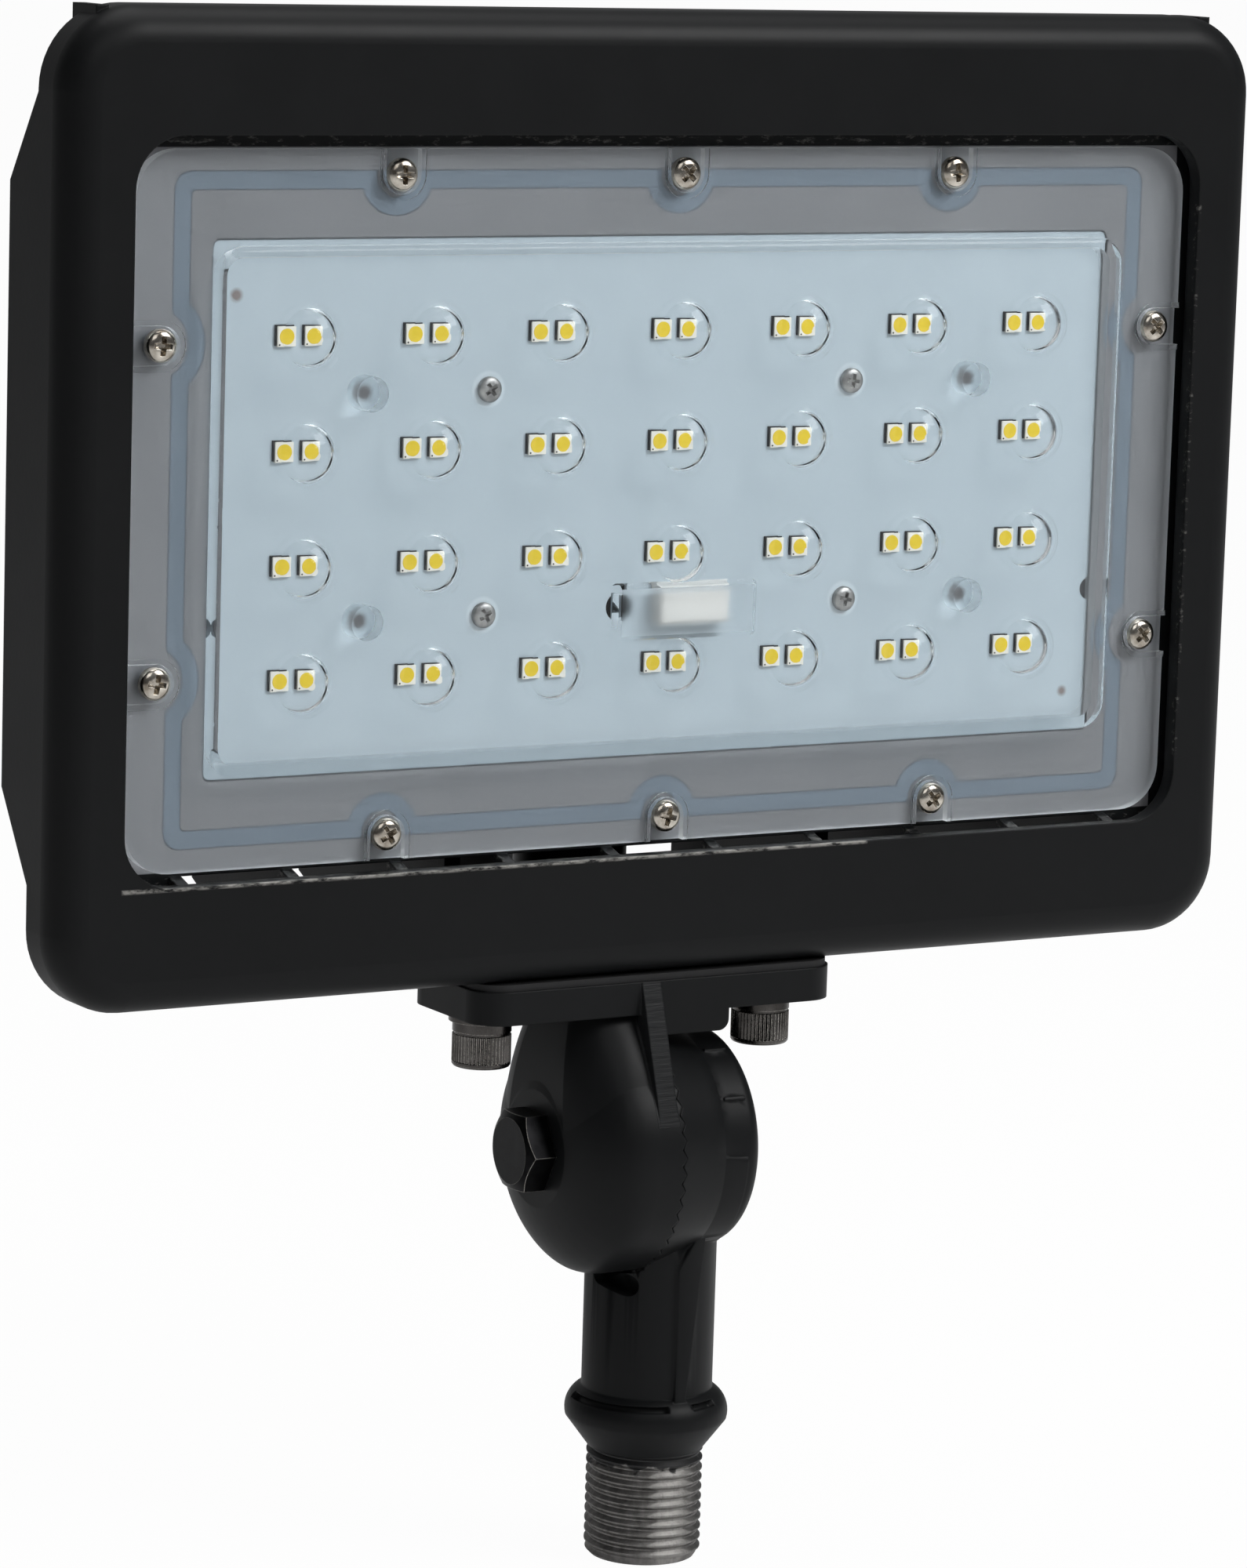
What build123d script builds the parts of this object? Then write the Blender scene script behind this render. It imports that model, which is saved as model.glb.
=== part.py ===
from build123d import *
import os
from math import acos, atan2, cos, hypot, pi, radians, sin, tan

# LED flood light on a toothed knuckle mount.
# Millimetres, +Z up. The light shines towards -Y.
# The origin is on the axis of the threaded stem, where the thread meets the collar.
os.makedirs("parts", exist_ok=True)

# Knuckle, stem and thread
thread_diameter = 20.9
thread_length = 20.0
thread_chamfer = 1.0
wire_bore = 14.0
wire_bore_depth = 32.0
stem_bore = 11.0
stem_diameter = 23.5
collar_diameter = 29.8
collar_height = 6.4
collar_shoulder = 10.4
collar_groove_radius = 0.7
collar_groove_spans = ((165, 92), (277, 24))
hinge_height = 56.2
stem_to_joint = 7.3
rim_radius = 23.1
drum_width = 18.2
drum_shoulder = 9.9
drum_radius = 20.0
drum_cap_step = 0.4
drum_edge_radius = 3.0
cup_width = 17.2
cup_face_radius = 10.5
cup_curve = ((0.27, 1.0), (0.42, 0.996), (0.56, 0.970), (0.71, 0.887), (0.88, 0.710))
tooth_count = 48
tooth_height = 0.9
tooth_inner_radius = 17.6
tooth_gap = 0.16
tooth_crest = 0.92
chamber_radius = 12.6
knuckle_wall = 4.0
bolt_boss_radius = 7.6
bolt_boss_gap = 1.5
face_gap = 0.5
seal_radius = 15.4
seal_section = 2.4
seal_fit = 0.1
cup_clearance = 0.5
rib_proud = 0.8
rib_top_width = 5.5
rib_foot_width = 1.6
rib_left = -1.4
rib_top_drop = 12.0
rib_bend_drop = 21.6
riser_width = 4.6
riser_step = 0.35
pocket_length = 10.0
pocket_height = 4.0
pocket_depth = 3.0
pocket_drop = 24.0
pocket_direction = 205
pocket_slope = 12
index_mark_length = 4.2
index_mark_width = 0.6
index_mark_height = 0.3
index_mark_angles = (30, 60)

# Pivot bolt
bolt_diameter = 9.5
bolt_across_flats = 13.5
bolt_head_height = 5.2
bolt_length = 27.0
bolt_fit = 0.25
bolt_face_diameter = 11.8
bolt_chamfer_angle = 30

# Flange under the housing
flange_length = 72.6
flange_depth = 28.0
flange_corner = 6.0
flange_thickness = 5.9
flange_middle_reach = 13.4
flange_middle_thickness = 9.8
flange_middle_corner = 2.0
flange_gasket_thickness = 1.2
flange_screw_spacing = 57.0
flange_screw_diameter = 6.0
flange_screw_length = 16.0
flange_head_diameter = 10.4
flange_head_height = 6.3
flange_hex_key = 5.0
flange_key_depth = 3.0
spring_washer_thickness = 1.8
flat_washer_thickness = 1.6
flat_washer_diameter = 11.8
drum_clearance = 0.7
neck_foot_drop = 3.0
neck_foot_inset = 0.5
neck_waist_rise = 11.0
neck_waist_width = 16.9
neck_waist_depth = 39.2
neck_top_width = 14.0
neck_top_depth = 23.6
neck_top_curve = ((0.27, 1.0), (0.45, 0.995), (0.62, 0.970), (0.80, 0.890), (0.93, 0.720))
web_thickness = 3.8
web_offset = 0.8
passage_diameter = 12.0
passage_offset = 9.0
passage_y = 5.0

# Housing
housing_width = 236.0
housing_height = 167.0
hinge_to_housing = 32.7
wall = 3.0
front_y = -15.6
front_edge_radius = 6.0
housing_corner = 14.0
side_depth = 22.0
edge_depth = 11.5
side_flat_top = 54.0
side_flat_bottom = 47.0
slope_height = 15.0
aperture_width = 211.4
aperture_top = 62.5
aperture_bottom = 62.0
aperture_corner = 9.0

# Heat sink plate, ribs and fins
plate_setback = 5.5
plate_thickness = 5.8
plate_top = 64.0
plate_bottom = 61.1
rib_pitch = 20.8
rib_count = 10
rib_thickness = 2.2
rib_root = 0.5
rib_back = 23.3
rib_flat = 68.0
short_rib_back = 0.8
fin_thickness = 1.8
fin_inset = 3.5
ear_offset = 109.4
ear_thickness = 2.2
ear_depth = 15.0
ear_drop = 0.2

# Driver compartment
driver_box_width = 112.0
driver_box_height = 100.0
driver_box_back = 19.4
driver_box_corner = 6.0
cover_thickness = 3.0
cover_gap = 0.6
cover_edge = 1.0
cover_gasket_thickness = 1.0
cover_boss_radius = 4.5
cover_screw_diameter = 4.0
cover_screw_length = 12.0
cover_head_height = 2.4
pad_width = 78.0
pad_thickness = 9.0
pad_skin = 1.5
pad_back = 17.4
wire_tube_diameter = 20.0
driver_width = 84.0
driver_height = 46.0
driver_thickness = 21.0
driver_z = 12.0
driver_ear = 9.0
driver_ear_thickness = 2.0
driver_screw_length = 5.5
ground_screw_place = (35.0, -36.0)
ground_screw_diameter = 4.0
ground_screw_length = 4.5
tapped_fit = 0.1
clearance_fit = 0.3

# LED board
board_width = 178.0
board_height = 90.0
board_thickness = 1.6
board_recess = 1.8
board_fit = 0.3
board_notch_radius = 2.0
board_notch_z = -19.5
column_pitch = 24.2
row_pitch = 19.3
columns = 7
rows = 4
pair_spacing = 5.2
package_size = 3.5
package_height = 0.7
board_screw_x = 36.3
board_screw_length = 4.6
board_head_diameter = 4.4
board_head_height = 1.2
driver_head_diameter = 5.4
small_screw_diameter = 3.0
small_head_height = 2.0
connector_length = 14.0
connector_width = 6.0
connector_height = 3.2
connector_x = 4.0
connector_z = -19.0
wire_hole_x = -9.5
wire_hole_radius = 2.5
grommet_radius = 4.1
grommet_flange_radius = 5.4
grommet_flange_thickness = 1.2

# Lens
lens_width = 208.4
lens_height = 120.2
lens_corner = 8.0
lens_flange_thickness = 2.5
plateau_width = 180.0
plateau_height = 88.6
plateau_corner = 5.0
plateau_rise = 3.0
lens_skin = 2.0
dome_diameter = 11.6
dome_rise = 3.0
hollow_diameter = 9.3
hollow_top_diameter = 6.0
hollow_rise = 3.4
post_x = 60.4
post_diameter = 6.0
lens_screw_x = 99.2
lens_screw_side_z = 28.0
lens_screw_top_x = 55.1
lens_screw_z = 55.8
lens_head_diameter = 5.6
lens_screw_length = 5.5
notch_radius = 3.3
notch_depth = 1.0
notch_lip = 1.0
notch_lip_height = 0.4
cover_box_length = 28.4
cover_box_width = 9.8
cover_box_rise = 2.2
gasket_half_width = 94.8
gasket_half_height = 54.9
gasket_width = 3.0
gasket_depth = 1.6
gasket_fit = 0.1
side_loop_radius = 7.4
top_loop_radius = 5.4

# Places that follow from the sizes above
joint_x = -stem_to_joint
head_bottom = hinge_height + hinge_to_housing
head_z = head_bottom + housing_height / 2
head_top = head_bottom + housing_height
side_back = front_y + side_depth
edge_back = front_y + edge_depth
plate_front = front_y + plate_setback
plate_back = plate_front + plate_thickness
rib_front = front_y + wall - rib_root
rib_end = housing_height / 2 - wall + rib_root
recess_floor = plate_front + board_recess
board_front = recess_floor - board_thickness
lens_back = plate_front
lens_front = lens_back - lens_flange_thickness
plateau_front = lens_front - plateau_rise
lens_ceiling = plateau_front + lens_skin
notch_floor = lens_front + notch_depth
gasket_floor = plate_front + gasket_depth
flange_top = head_bottom - flange_gasket_thickness
flange_bottom = flange_top - flange_thickness
flange_middle_bottom = flange_top - flange_middle_thickness
gasket_back = driver_box_back + cover_gasket_thickness
cover_back = gasket_back + cover_thickness
box_to_bottom = (housing_height - driver_box_height) / 2
passage_x = joint_x - passage_offset
rim_pitch = 360 / tooth_count
tooth_root = (tooth_height + tooth_gap) / 2
tooth_face = tooth_height * tooth_crest - tooth_root
seal_face = tooth_height / 2 + face_gap
hinge_axis = Axis((0, 0, hinge_height), (1, 0, 0))
side_screws = [(sx * lens_screw_x, sz * lens_screw_side_z) for sx in (-1, 1) for sz in (-1, 1)]
edge_screws = [(sx * lens_screw_top_x, sz * lens_screw_z) for sx in (-1, 0, 1) for sz in (-1, 1)]
lens_screw_places = side_screws + edge_screws
board_screw_places = [(sx * board_screw_x, sz * row_pitch) for sx in (-1, 1) for sz in (-1, 1)]
cover_screw_x = driver_box_width / 2 - wall - cover_boss_radius + 1
cover_screw_z = driver_box_height / 2 - wall - cover_boss_radius + 1
cover_screw_places = [(sx * cover_screw_x, sz * cover_screw_z) for sx in (-1, 0, 1) for sz in (-1, 1)]
flange_screw_places = [(joint_x + s * flange_screw_spacing / 2, 0) for s in (-1, 1)]
driver_ear_x = (driver_width + driver_ear) / 2
driver_screw_places = [(s * driver_ear_x, driver_z) for s in (-1, 1)]


def head_plane(y):
    """A plane that faces the front, centred on the head, with X to the right and Z up."""
    return Plane(origin=(joint_x, y, head_z), x_dir=(1, 0, 0), z_dir=(0, -1, 0))


def turning_plane():
    """The plane for profiles turned about the hinge: X runs along the axis, Y is the radius."""
    return Plane(origin=(joint_x, 0, hinge_height), x_dir=(1, 0, 0), z_dir=(0, -1, 0))


def hinge_plane(x, facing=1):
    """A plane square to the hinge axis, x beyond the seam."""
    return Plane(origin=(joint_x + x, 0, hinge_height), x_dir=(0, facing, 0), z_dir=(facing, 0, 0))


def stem_plane(angle):
    """The plane for profiles turned about the stem, starting at an angle from +X."""
    turn = radians(angle)
    return Plane(origin=(0, 0, 0), x_dir=(cos(turn), sin(turn), 0), z_dir=(sin(turn), -cos(turn), 0))


def rib_plane(x):
    """A plane square to the front, x to the right of the head's middle: X runs back and Y up."""
    return Plane(origin=(joint_x + x, 0, head_z), x_dir=(0, 1, 0), z_dir=(1, 0, 0))


def outward_plane(angle, radius, z):
    """A plane that faces away from the stem, at a distance from its axis."""
    turn = radians(angle)
    facing = Vector(cos(turn), sin(turn), 0)
    return Plane(origin=facing * radius + Vector(0, 0, z), x_dir=(-sin(turn), cos(turn), 0), z_dir=facing)


def half_outline(curve, length, half_depth):
    """A curve from the rim to the face, drawn to a length and a half depth."""
    points = [(-x * length, r * half_depth) for x, r in curve]
    return points + [(-length, cup_face_radius / rim_radius * half_depth)]


def radial_plane(angle):
    """A plane through the hinge axis that faces outwards, at an angle above the front."""
    turn = radians(angle)
    return Plane(origin=(joint_x, 0, hinge_height), x_dir=(1, 0, 0), z_dir=(0, -cos(turn), sin(turn)))


def gasket_band(width):
    """The lens gasket's outline: a rounded rectangle that loops inwards round the screws."""
    with BuildSketch() as band:
        RectangleRounded(2 * gasket_half_width + width, 2 * gasket_half_height + width, 3)
        with Locations(*side_screws):
            Circle(side_loop_radius - width / 2, mode=Mode.SUBTRACT)
        with Locations(*edge_screws):
            Circle(top_loop_radius - width / 2, mode=Mode.SUBTRACT)
    with BuildSketch() as middle:
        RectangleRounded(2 * gasket_half_width - width, 2 * gasket_half_height - width, 1)
        with Locations(*side_screws):
            Circle(side_loop_radius + width / 2, mode=Mode.SUBTRACT)
        with Locations(*edge_screws):
            Circle(top_loop_radius + width / 2, mode=Mode.SUBTRACT)
    return band.sketch - middle.sketch


def pan_screws(places, seat_y, inward, diameter, head_diameter, head_height, length):
    """Pan head screws on the head, driven towards the back where inward is 1, the front where -1."""
    with BuildPart() as screws:
        with BuildSketch(head_plane(seat_y)):
            with Locations(*places):
                Circle(diameter / 2)
        extrude(amount=-inward * length)
        with BuildSketch(head_plane(seat_y)):
            with Locations(*places):
                Circle(head_diameter / 2)
        extrude(amount=inward * head_height)
        rims = screws.edges().group_by(Axis.Y)[0 if inward > 0 else -1]
        chamfer(rims, head_height * 0.4)
    return screws.part


# One V groove of the toothed rim, with its root on local Z = 0 and all its lines meeting on the axis
with BuildPart() as tooth_groove:
    for groove_end in (tooth_inner_radius - 0.5, rim_radius + cup_clearance * 0.6):
        groove_half = groove_end * pi / tooth_count
        with BuildSketch(Plane.YZ.offset(groove_end)):
            with BuildLine():
                Polyline(
                    (0, 0),
                    (groove_half * 1.3, tooth_height * 1.3),
                    (-groove_half * 1.3, tooth_height * 1.3),
                    close=True,
                )
            make_face()
    loft()

# Housing: one casting with the front frame, heat sink, fins, driver box and flange pad
with BuildPart() as housing:
    with BuildSketch(head_plane(front_y)):
        RectangleRounded(housing_width, housing_height, housing_corner)
    extrude(amount=-side_depth)
    fillet(housing.faces().sort_by(Axis.Y)[0].edges(), front_edge_radius)
    with BuildSketch(head_plane(front_y + wall)):
        RectangleRounded(housing_width - 2 * wall, housing_height - 2 * wall, housing_corner - wall)
    extrude(amount=-side_depth, mode=Mode.SUBTRACT)
    with BuildSketch(head_plane(front_y)):
        with Locations((0, (aperture_top - aperture_bottom) / 2)):
            RectangleRounded(aperture_width, aperture_top + aperture_bottom, aperture_corner)
    extrude(amount=-wall, mode=Mode.SUBTRACT)
    # Heat sink plate, which reaches the side walls and leaves a row of slots below the lens
    with BuildSketch(head_plane(plate_front)):
        with Locations((0, (plate_top - plate_bottom) / 2)):
            Rectangle(housing_width - wall, plate_top + plate_bottom)
    extrude(amount=-plate_thickness)
    # Beyond the last ribs the plate fills the corners of the housing
    with BuildSketch(head_plane(plate_front)):
        RectangleRounded(housing_width - wall, housing_height - wall, housing_corner - wall / 2)
        Rectangle(rib_pitch * (rib_count - 1), housing_height, mode=Mode.SUBTRACT)
    extrude(amount=-plate_thickness)
    # Outline of the side walls: deep in the middle, sloping to shallow edges above and below
    with BuildSketch(Plane(origin=(joint_x, 0, 0), x_dir=(0, 1, 0), z_dir=(1, 0, 0))):
        with BuildLine():
            Polyline(
                (edge_back, head_top + wall),
                (edge_back, head_z + side_flat_top + slope_height),
                (side_back, head_z + side_flat_top),
                (side_back, head_z - side_flat_bottom),
                (edge_back, head_z - side_flat_bottom - slope_height),
                (edge_back, head_bottom - wall),
                (side_back + wall, head_bottom - wall),
                (side_back + wall, head_top + wall),
                close=True,
            )
        make_face()
    extrude(amount=housing_width, both=True, mode=Mode.SUBTRACT)
    # Ribs that join the plate to the frame, reaching forwards to the lip below the slots
    for rib_number in range(rib_count):
        rib_x = (rib_number - (rib_count - 1) / 2) * rib_pitch
        with BuildSketch(rib_plane(rib_x)):
            with BuildLine():
                Polyline(
                    (plate_front, -plate_bottom),
                    (rib_front, -aperture_bottom),
                    (rib_front, -rib_end),
                    (edge_back, -rib_end),
                    (rib_back, -rib_flat),
                    (rib_back, rib_flat),
                    (edge_back, rib_end),
                    (rib_front, rib_end),
                    (rib_front, plate_top),
                    (plate_front, plate_top),
                    close=True,
                )
            make_face()
        extrude(amount=rib_thickness / 2, both=True)
    # Shorter fins between the ribs
    with BuildSketch(head_plane(plate_back)):
        with GridLocations(rib_pitch, 0, rib_count - 1, 1):
            Rectangle(fin_thickness, 2 * (plate_bottom - fin_inset))
    extrude(amount=-(rib_back - plate_back))
    # The rib beside the wire tube stops short below the driver box
    with BuildSketch(rib_plane(rib_pitch / 2)):
        with Locations((short_rib_back, -driver_box_height / 2)):
            Rectangle(rib_back, housing_height / 2, align=(Align.MIN, Align.MAX))
    extrude(amount=rib_thickness, both=True, mode=Mode.SUBTRACT)
    # Square-topped end fins, which show behind the rounded upper corners
    with BuildSketch(head_plane(front_y + front_edge_radius)):
        with Locations((-ear_offset, housing_height / 2 - ear_drop), (ear_offset, housing_height / 2 - ear_drop)):
            ear_height = housing_height / 2 - ear_drop - side_flat_top
            Rectangle(ear_thickness, ear_height, align=(Align.CENTER, Align.MAX))
    extrude(amount=-(ear_depth - front_edge_radius))
    # Driver box on the back of the plate, with its cover let in between the ribs
    with BuildSketch(head_plane(plate_back)):
        RectangleRounded(driver_box_width, driver_box_height, driver_box_corner)
    extrude(amount=-(driver_box_back - plate_back))
    with BuildSketch(head_plane(plate_back)):
        RectangleRounded(driver_box_width - 2 * wall, driver_box_height - 2 * wall, driver_box_corner - wall)
    extrude(amount=-(driver_box_back - plate_back), mode=Mode.SUBTRACT)
    with BuildSketch(head_plane(driver_box_back)):
        RectangleRounded(
            driver_box_width + 2 * cover_gap,
            driver_box_height + 2 * cover_gap,
            driver_box_corner + cover_gap,
        )
    extrude(amount=-rib_back, mode=Mode.SUBTRACT)
    with BuildSketch(head_plane(plate_back)):
        with Locations(*cover_screw_places):
            Circle(cover_boss_radius)
    extrude(amount=-(driver_box_back - plate_back))
    # Flange pad, its two cheeks and the wire tube up to the driver box
    with BuildSketch(Plane.XY.offset(head_bottom)):
        with Locations((joint_x, (pad_back + front_y + front_edge_radius) / 2)):
            Rectangle(pad_width, pad_back - front_y - front_edge_radius)
    extrude(amount=pad_thickness)
    with BuildSketch(Plane.XY.offset(head_bottom + pad_thickness)):
        with Locations((joint_x, (pad_back + edge_back) / 2)):
            with GridLocations(pad_width - wall, 0, 2, 1):
                Rectangle(wall, pad_back - edge_back)
        with Locations((passage_x, passage_y)):
            Circle(wire_tube_diameter / 2)
    extrude(amount=box_to_bottom - pad_thickness + wall / 2)
    with BuildSketch(Plane.XY.offset(head_bottom)):
        with Locations((passage_x, passage_y)):
            Circle(passage_diameter / 2)
    extrude(amount=box_to_bottom + wall, mode=Mode.SUBTRACT)
    # Threaded holes for the flange screws
    with BuildSketch(Plane.XY.offset(head_bottom)):
        with Locations(*flange_screw_places):
            Circle(flange_screw_diameter / 2 + tapped_fit)
    extrude(amount=pad_thickness - pad_skin, mode=Mode.SUBTRACT)
    # Board recess, gasket groove, wire hole and threaded holes in the plate
    with BuildSketch(head_plane(plate_front)):
        RectangleRounded(board_width + 2 * board_fit, board_height + 2 * board_fit, 1.5)
    extrude(amount=-board_recess, mode=Mode.SUBTRACT)
    with BuildSketch(head_plane(plate_front)):
        add(gasket_band(gasket_width + 2 * gasket_fit))
    extrude(amount=-gasket_depth, mode=Mode.SUBTRACT)
    with BuildSketch(head_plane(recess_floor)):
        with Locations((wire_hole_x, connector_z)):
            Circle(grommet_radius + tapped_fit)
    extrude(amount=-plate_thickness, mode=Mode.SUBTRACT)
    with BuildSketch(head_plane(plate_front)):
        with Locations(*lens_screw_places):
            Circle(small_screw_diameter / 2 + tapped_fit)
    extrude(amount=-(plate_thickness - 1), mode=Mode.SUBTRACT)
    with BuildSketch(head_plane(recess_floor)):
        with Locations(*board_screw_places):
            Circle(small_screw_diameter / 2 + tapped_fit)
    extrude(amount=-(plate_thickness - board_recess - 0.5), mode=Mode.SUBTRACT)
    # Threaded holes inside and round the driver box
    with BuildSketch(head_plane(plate_back)):
        with Locations(*driver_screw_places):
            Circle(small_screw_diameter / 2 + tapped_fit)
        with Locations(ground_screw_place):
            Circle(ground_screw_diameter / 2 + tapped_fit)
    extrude(amount=plate_thickness - board_recess - 0.3, mode=Mode.SUBTRACT)
    with BuildSketch(head_plane(driver_box_back)):
        with Locations(*cover_screw_places):
            Circle(cover_screw_diameter / 2 + tapped_fit)
    extrude(amount=cover_screw_length, mode=Mode.SUBTRACT)
housing.part.label = "housing"
export_step(housing.part, "parts/housing.step")

# Gasket, cover and screws that close the driver box
with BuildPart() as driver_cover_gasket:
    with BuildSketch(head_plane(gasket_back)):
        RectangleRounded(driver_box_width, driver_box_height, driver_box_corner)
        RectangleRounded(
            driver_box_width - 2 * wall,
            driver_box_height - 2 * wall,
            driver_box_corner - wall,
            mode=Mode.SUBTRACT,
        )
        with Locations(*cover_screw_places):
            Circle(cover_boss_radius)
            Circle(cover_screw_diameter / 2 + clearance_fit, mode=Mode.SUBTRACT)
    extrude(amount=cover_gasket_thickness)
driver_cover_gasket.part.label = "driver_cover_gasket"
export_step(driver_cover_gasket.part, "parts/driver_cover_gasket.step")

with BuildPart() as driver_cover:
    with BuildSketch(head_plane(cover_back)):
        RectangleRounded(driver_box_width, driver_box_height, driver_box_corner)
    extrude(amount=cover_thickness)
    chamfer(driver_cover.faces().sort_by(Axis.Y)[-1].edges(), cover_edge)
    with BuildSketch(head_plane(cover_back)):
        with Locations(*cover_screw_places):
            Circle(cover_screw_diameter / 2 + clearance_fit)
    extrude(amount=cover_thickness, mode=Mode.SUBTRACT)
driver_cover.part.label = "driver_cover"
export_step(driver_cover.part, "parts/driver_cover.step")

driver_cover_screws = pan_screws(
    cover_screw_places,
    cover_back,
    -1,
    cover_screw_diameter,
    cover_screw_diameter * 2,
    cover_head_height,
    cover_screw_length,
)
driver_cover_screws.label = "driver_cover_screws"
export_step(driver_cover_screws, "parts/driver_cover_screws.step")

# LED driver: a potted can with two ears, screwed to the back of the plate
with BuildPart() as led_driver:
    with BuildSketch(head_plane(plate_back)):
        with Locations((0, driver_z)):
            RectangleRounded(driver_width, driver_height, 3)
    extrude(amount=-driver_thickness)
    fillet(led_driver.faces().sort_by(Axis.Y)[-1].edges(), 1.5)
    with BuildSketch(head_plane(plate_back)):
        with Locations(*driver_screw_places):
            RectangleRounded(driver_ear + 2, driver_ear, 2)
    extrude(amount=-driver_ear_thickness)
    with BuildSketch(head_plane(plate_back)):
        with Locations(*driver_screw_places):
            Circle(small_screw_diameter / 2 + clearance_fit)
    extrude(amount=-driver_ear_thickness, mode=Mode.SUBTRACT)
led_driver.part.label = "led_driver"
export_step(led_driver.part, "parts/led_driver.step")

driver_screws = pan_screws(
    driver_screw_places,
    plate_back + driver_ear_thickness,
    -1,
    small_screw_diameter,
    driver_head_diameter,
    small_head_height,
    driver_screw_length,
)
driver_screws.label = "driver_screws"
export_step(driver_screws, "parts/driver_screws.step")

ground_screw = pan_screws(
    [ground_screw_place],
    plate_back + 1,
    -1,
    ground_screw_diameter,
    ground_screw_diameter * 2,
    cover_head_height,
    ground_screw_length,
)
ground_screw.label = "ground_screw"
export_step(ground_screw, "parts/ground_screw.step")

# Rubber grommet in the wire hole, behind the board
with BuildPart() as wire_grommet:
    with BuildSketch(head_plane(recess_floor)):
        with Locations((wire_hole_x, connector_z)):
            Circle(grommet_radius)
    extrude(amount=-(plate_thickness - board_recess))
    with BuildSketch(head_plane(plate_back)):
        with Locations((wire_hole_x, connector_z)):
            Circle(grommet_flange_radius)
    extrude(amount=-grommet_flange_thickness)
    with BuildSketch(head_plane(recess_floor)):
        with Locations((wire_hole_x, connector_z)):
            Circle(wire_hole_radius)
    extrude(amount=-plate_thickness, mode=Mode.SUBTRACT)
wire_grommet.part.label = "wire_grommet"
export_step(wire_grommet.part, "parts/wire_grommet.step")

# LED board in its recess, with pairs of packages, a connector and four screws
with BuildPart() as led_board:
    with BuildSketch(head_plane(board_front)):
        RectangleRounded(board_width, board_height, 1.2)
        with Locations((-board_width / 2, board_notch_z), (board_width / 2, board_notch_z)):
            Circle(board_notch_radius, mode=Mode.SUBTRACT)
        with Locations((wire_hole_x, connector_z)):
            Circle(wire_hole_radius, mode=Mode.SUBTRACT)
        with Locations(*board_screw_places):
            Circle(small_screw_diameter / 2 + clearance_fit, mode=Mode.SUBTRACT)
    extrude(amount=-board_thickness)
led_board.part.label = "led_board"
export_step(led_board.part, "parts/led_board.step")

with BuildPart() as led_packages:
    with BuildSketch(head_plane(board_front)):
        with GridLocations(column_pitch, row_pitch, columns, rows):
            with GridLocations(pair_spacing, 0, 2, 1):
                Rectangle(package_size, package_size)
    extrude(amount=package_height)
led_packages.part.label = "led_packages"
export_step(led_packages.part, "parts/led_packages.step")

with BuildPart() as board_connector:
    with BuildSketch(head_plane(board_front)):
        with Locations((connector_x, connector_z)):
            Rectangle(connector_length, connector_width)
    extrude(amount=connector_height)
    chamfer(board_connector.faces().sort_by(Axis.Y)[0].edges(), 0.5)
board_connector.part.label = "board_connector"
export_step(board_connector.part, "parts/board_connector.step")

board_screws = pan_screws(
    board_screw_places,
    board_front,
    1,
    small_screw_diameter,
    board_head_diameter,
    board_head_height,
    board_screw_length,
)
board_screws.label = "board_screws"
export_step(board_screws, "parts/board_screws.step")

# Lens: a flange, a raised plateau, a shell dome over each LED pair, posts and the connector cover
with BuildPart() as dome:
    dome_radius = (dome_diameter ** 2 / 4 + dome_rise ** 2) / (2 * dome_rise)
    with Locations((0, 0, dome_rise - dome_radius)):
        Sphere(dome_radius)
    split(bisect_by=Plane.XY, keep=Keep.TOP)

with BuildPart() as dome_hollow:
    Cone(
        hollow_diameter / 2,
        hollow_top_diameter / 2,
        hollow_rise,
        align=(Align.CENTER, Align.CENTER, Align.MIN),
    )


def notch_outline(radius):
    """U shapes round the lens screws, open to the nearest edge of the lens."""
    with BuildSketch() as outline:
        with Locations(*lens_screw_places):
            Circle(radius)
        for screw_x, screw_z in side_screws:
            reach = lens_width / 2 - lens_screw_x
            with Locations((screw_x + reach / 2 * (1 if screw_x > 0 else -1), screw_z)):
                Rectangle(reach, 2 * radius)
        for screw_x, screw_z in edge_screws:
            reach = lens_height / 2 - lens_screw_z
            with Locations((screw_x, screw_z + reach / 2 * (1 if screw_z > 0 else -1))):
                Rectangle(2 * radius, reach)
    return outline.sketch


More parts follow.
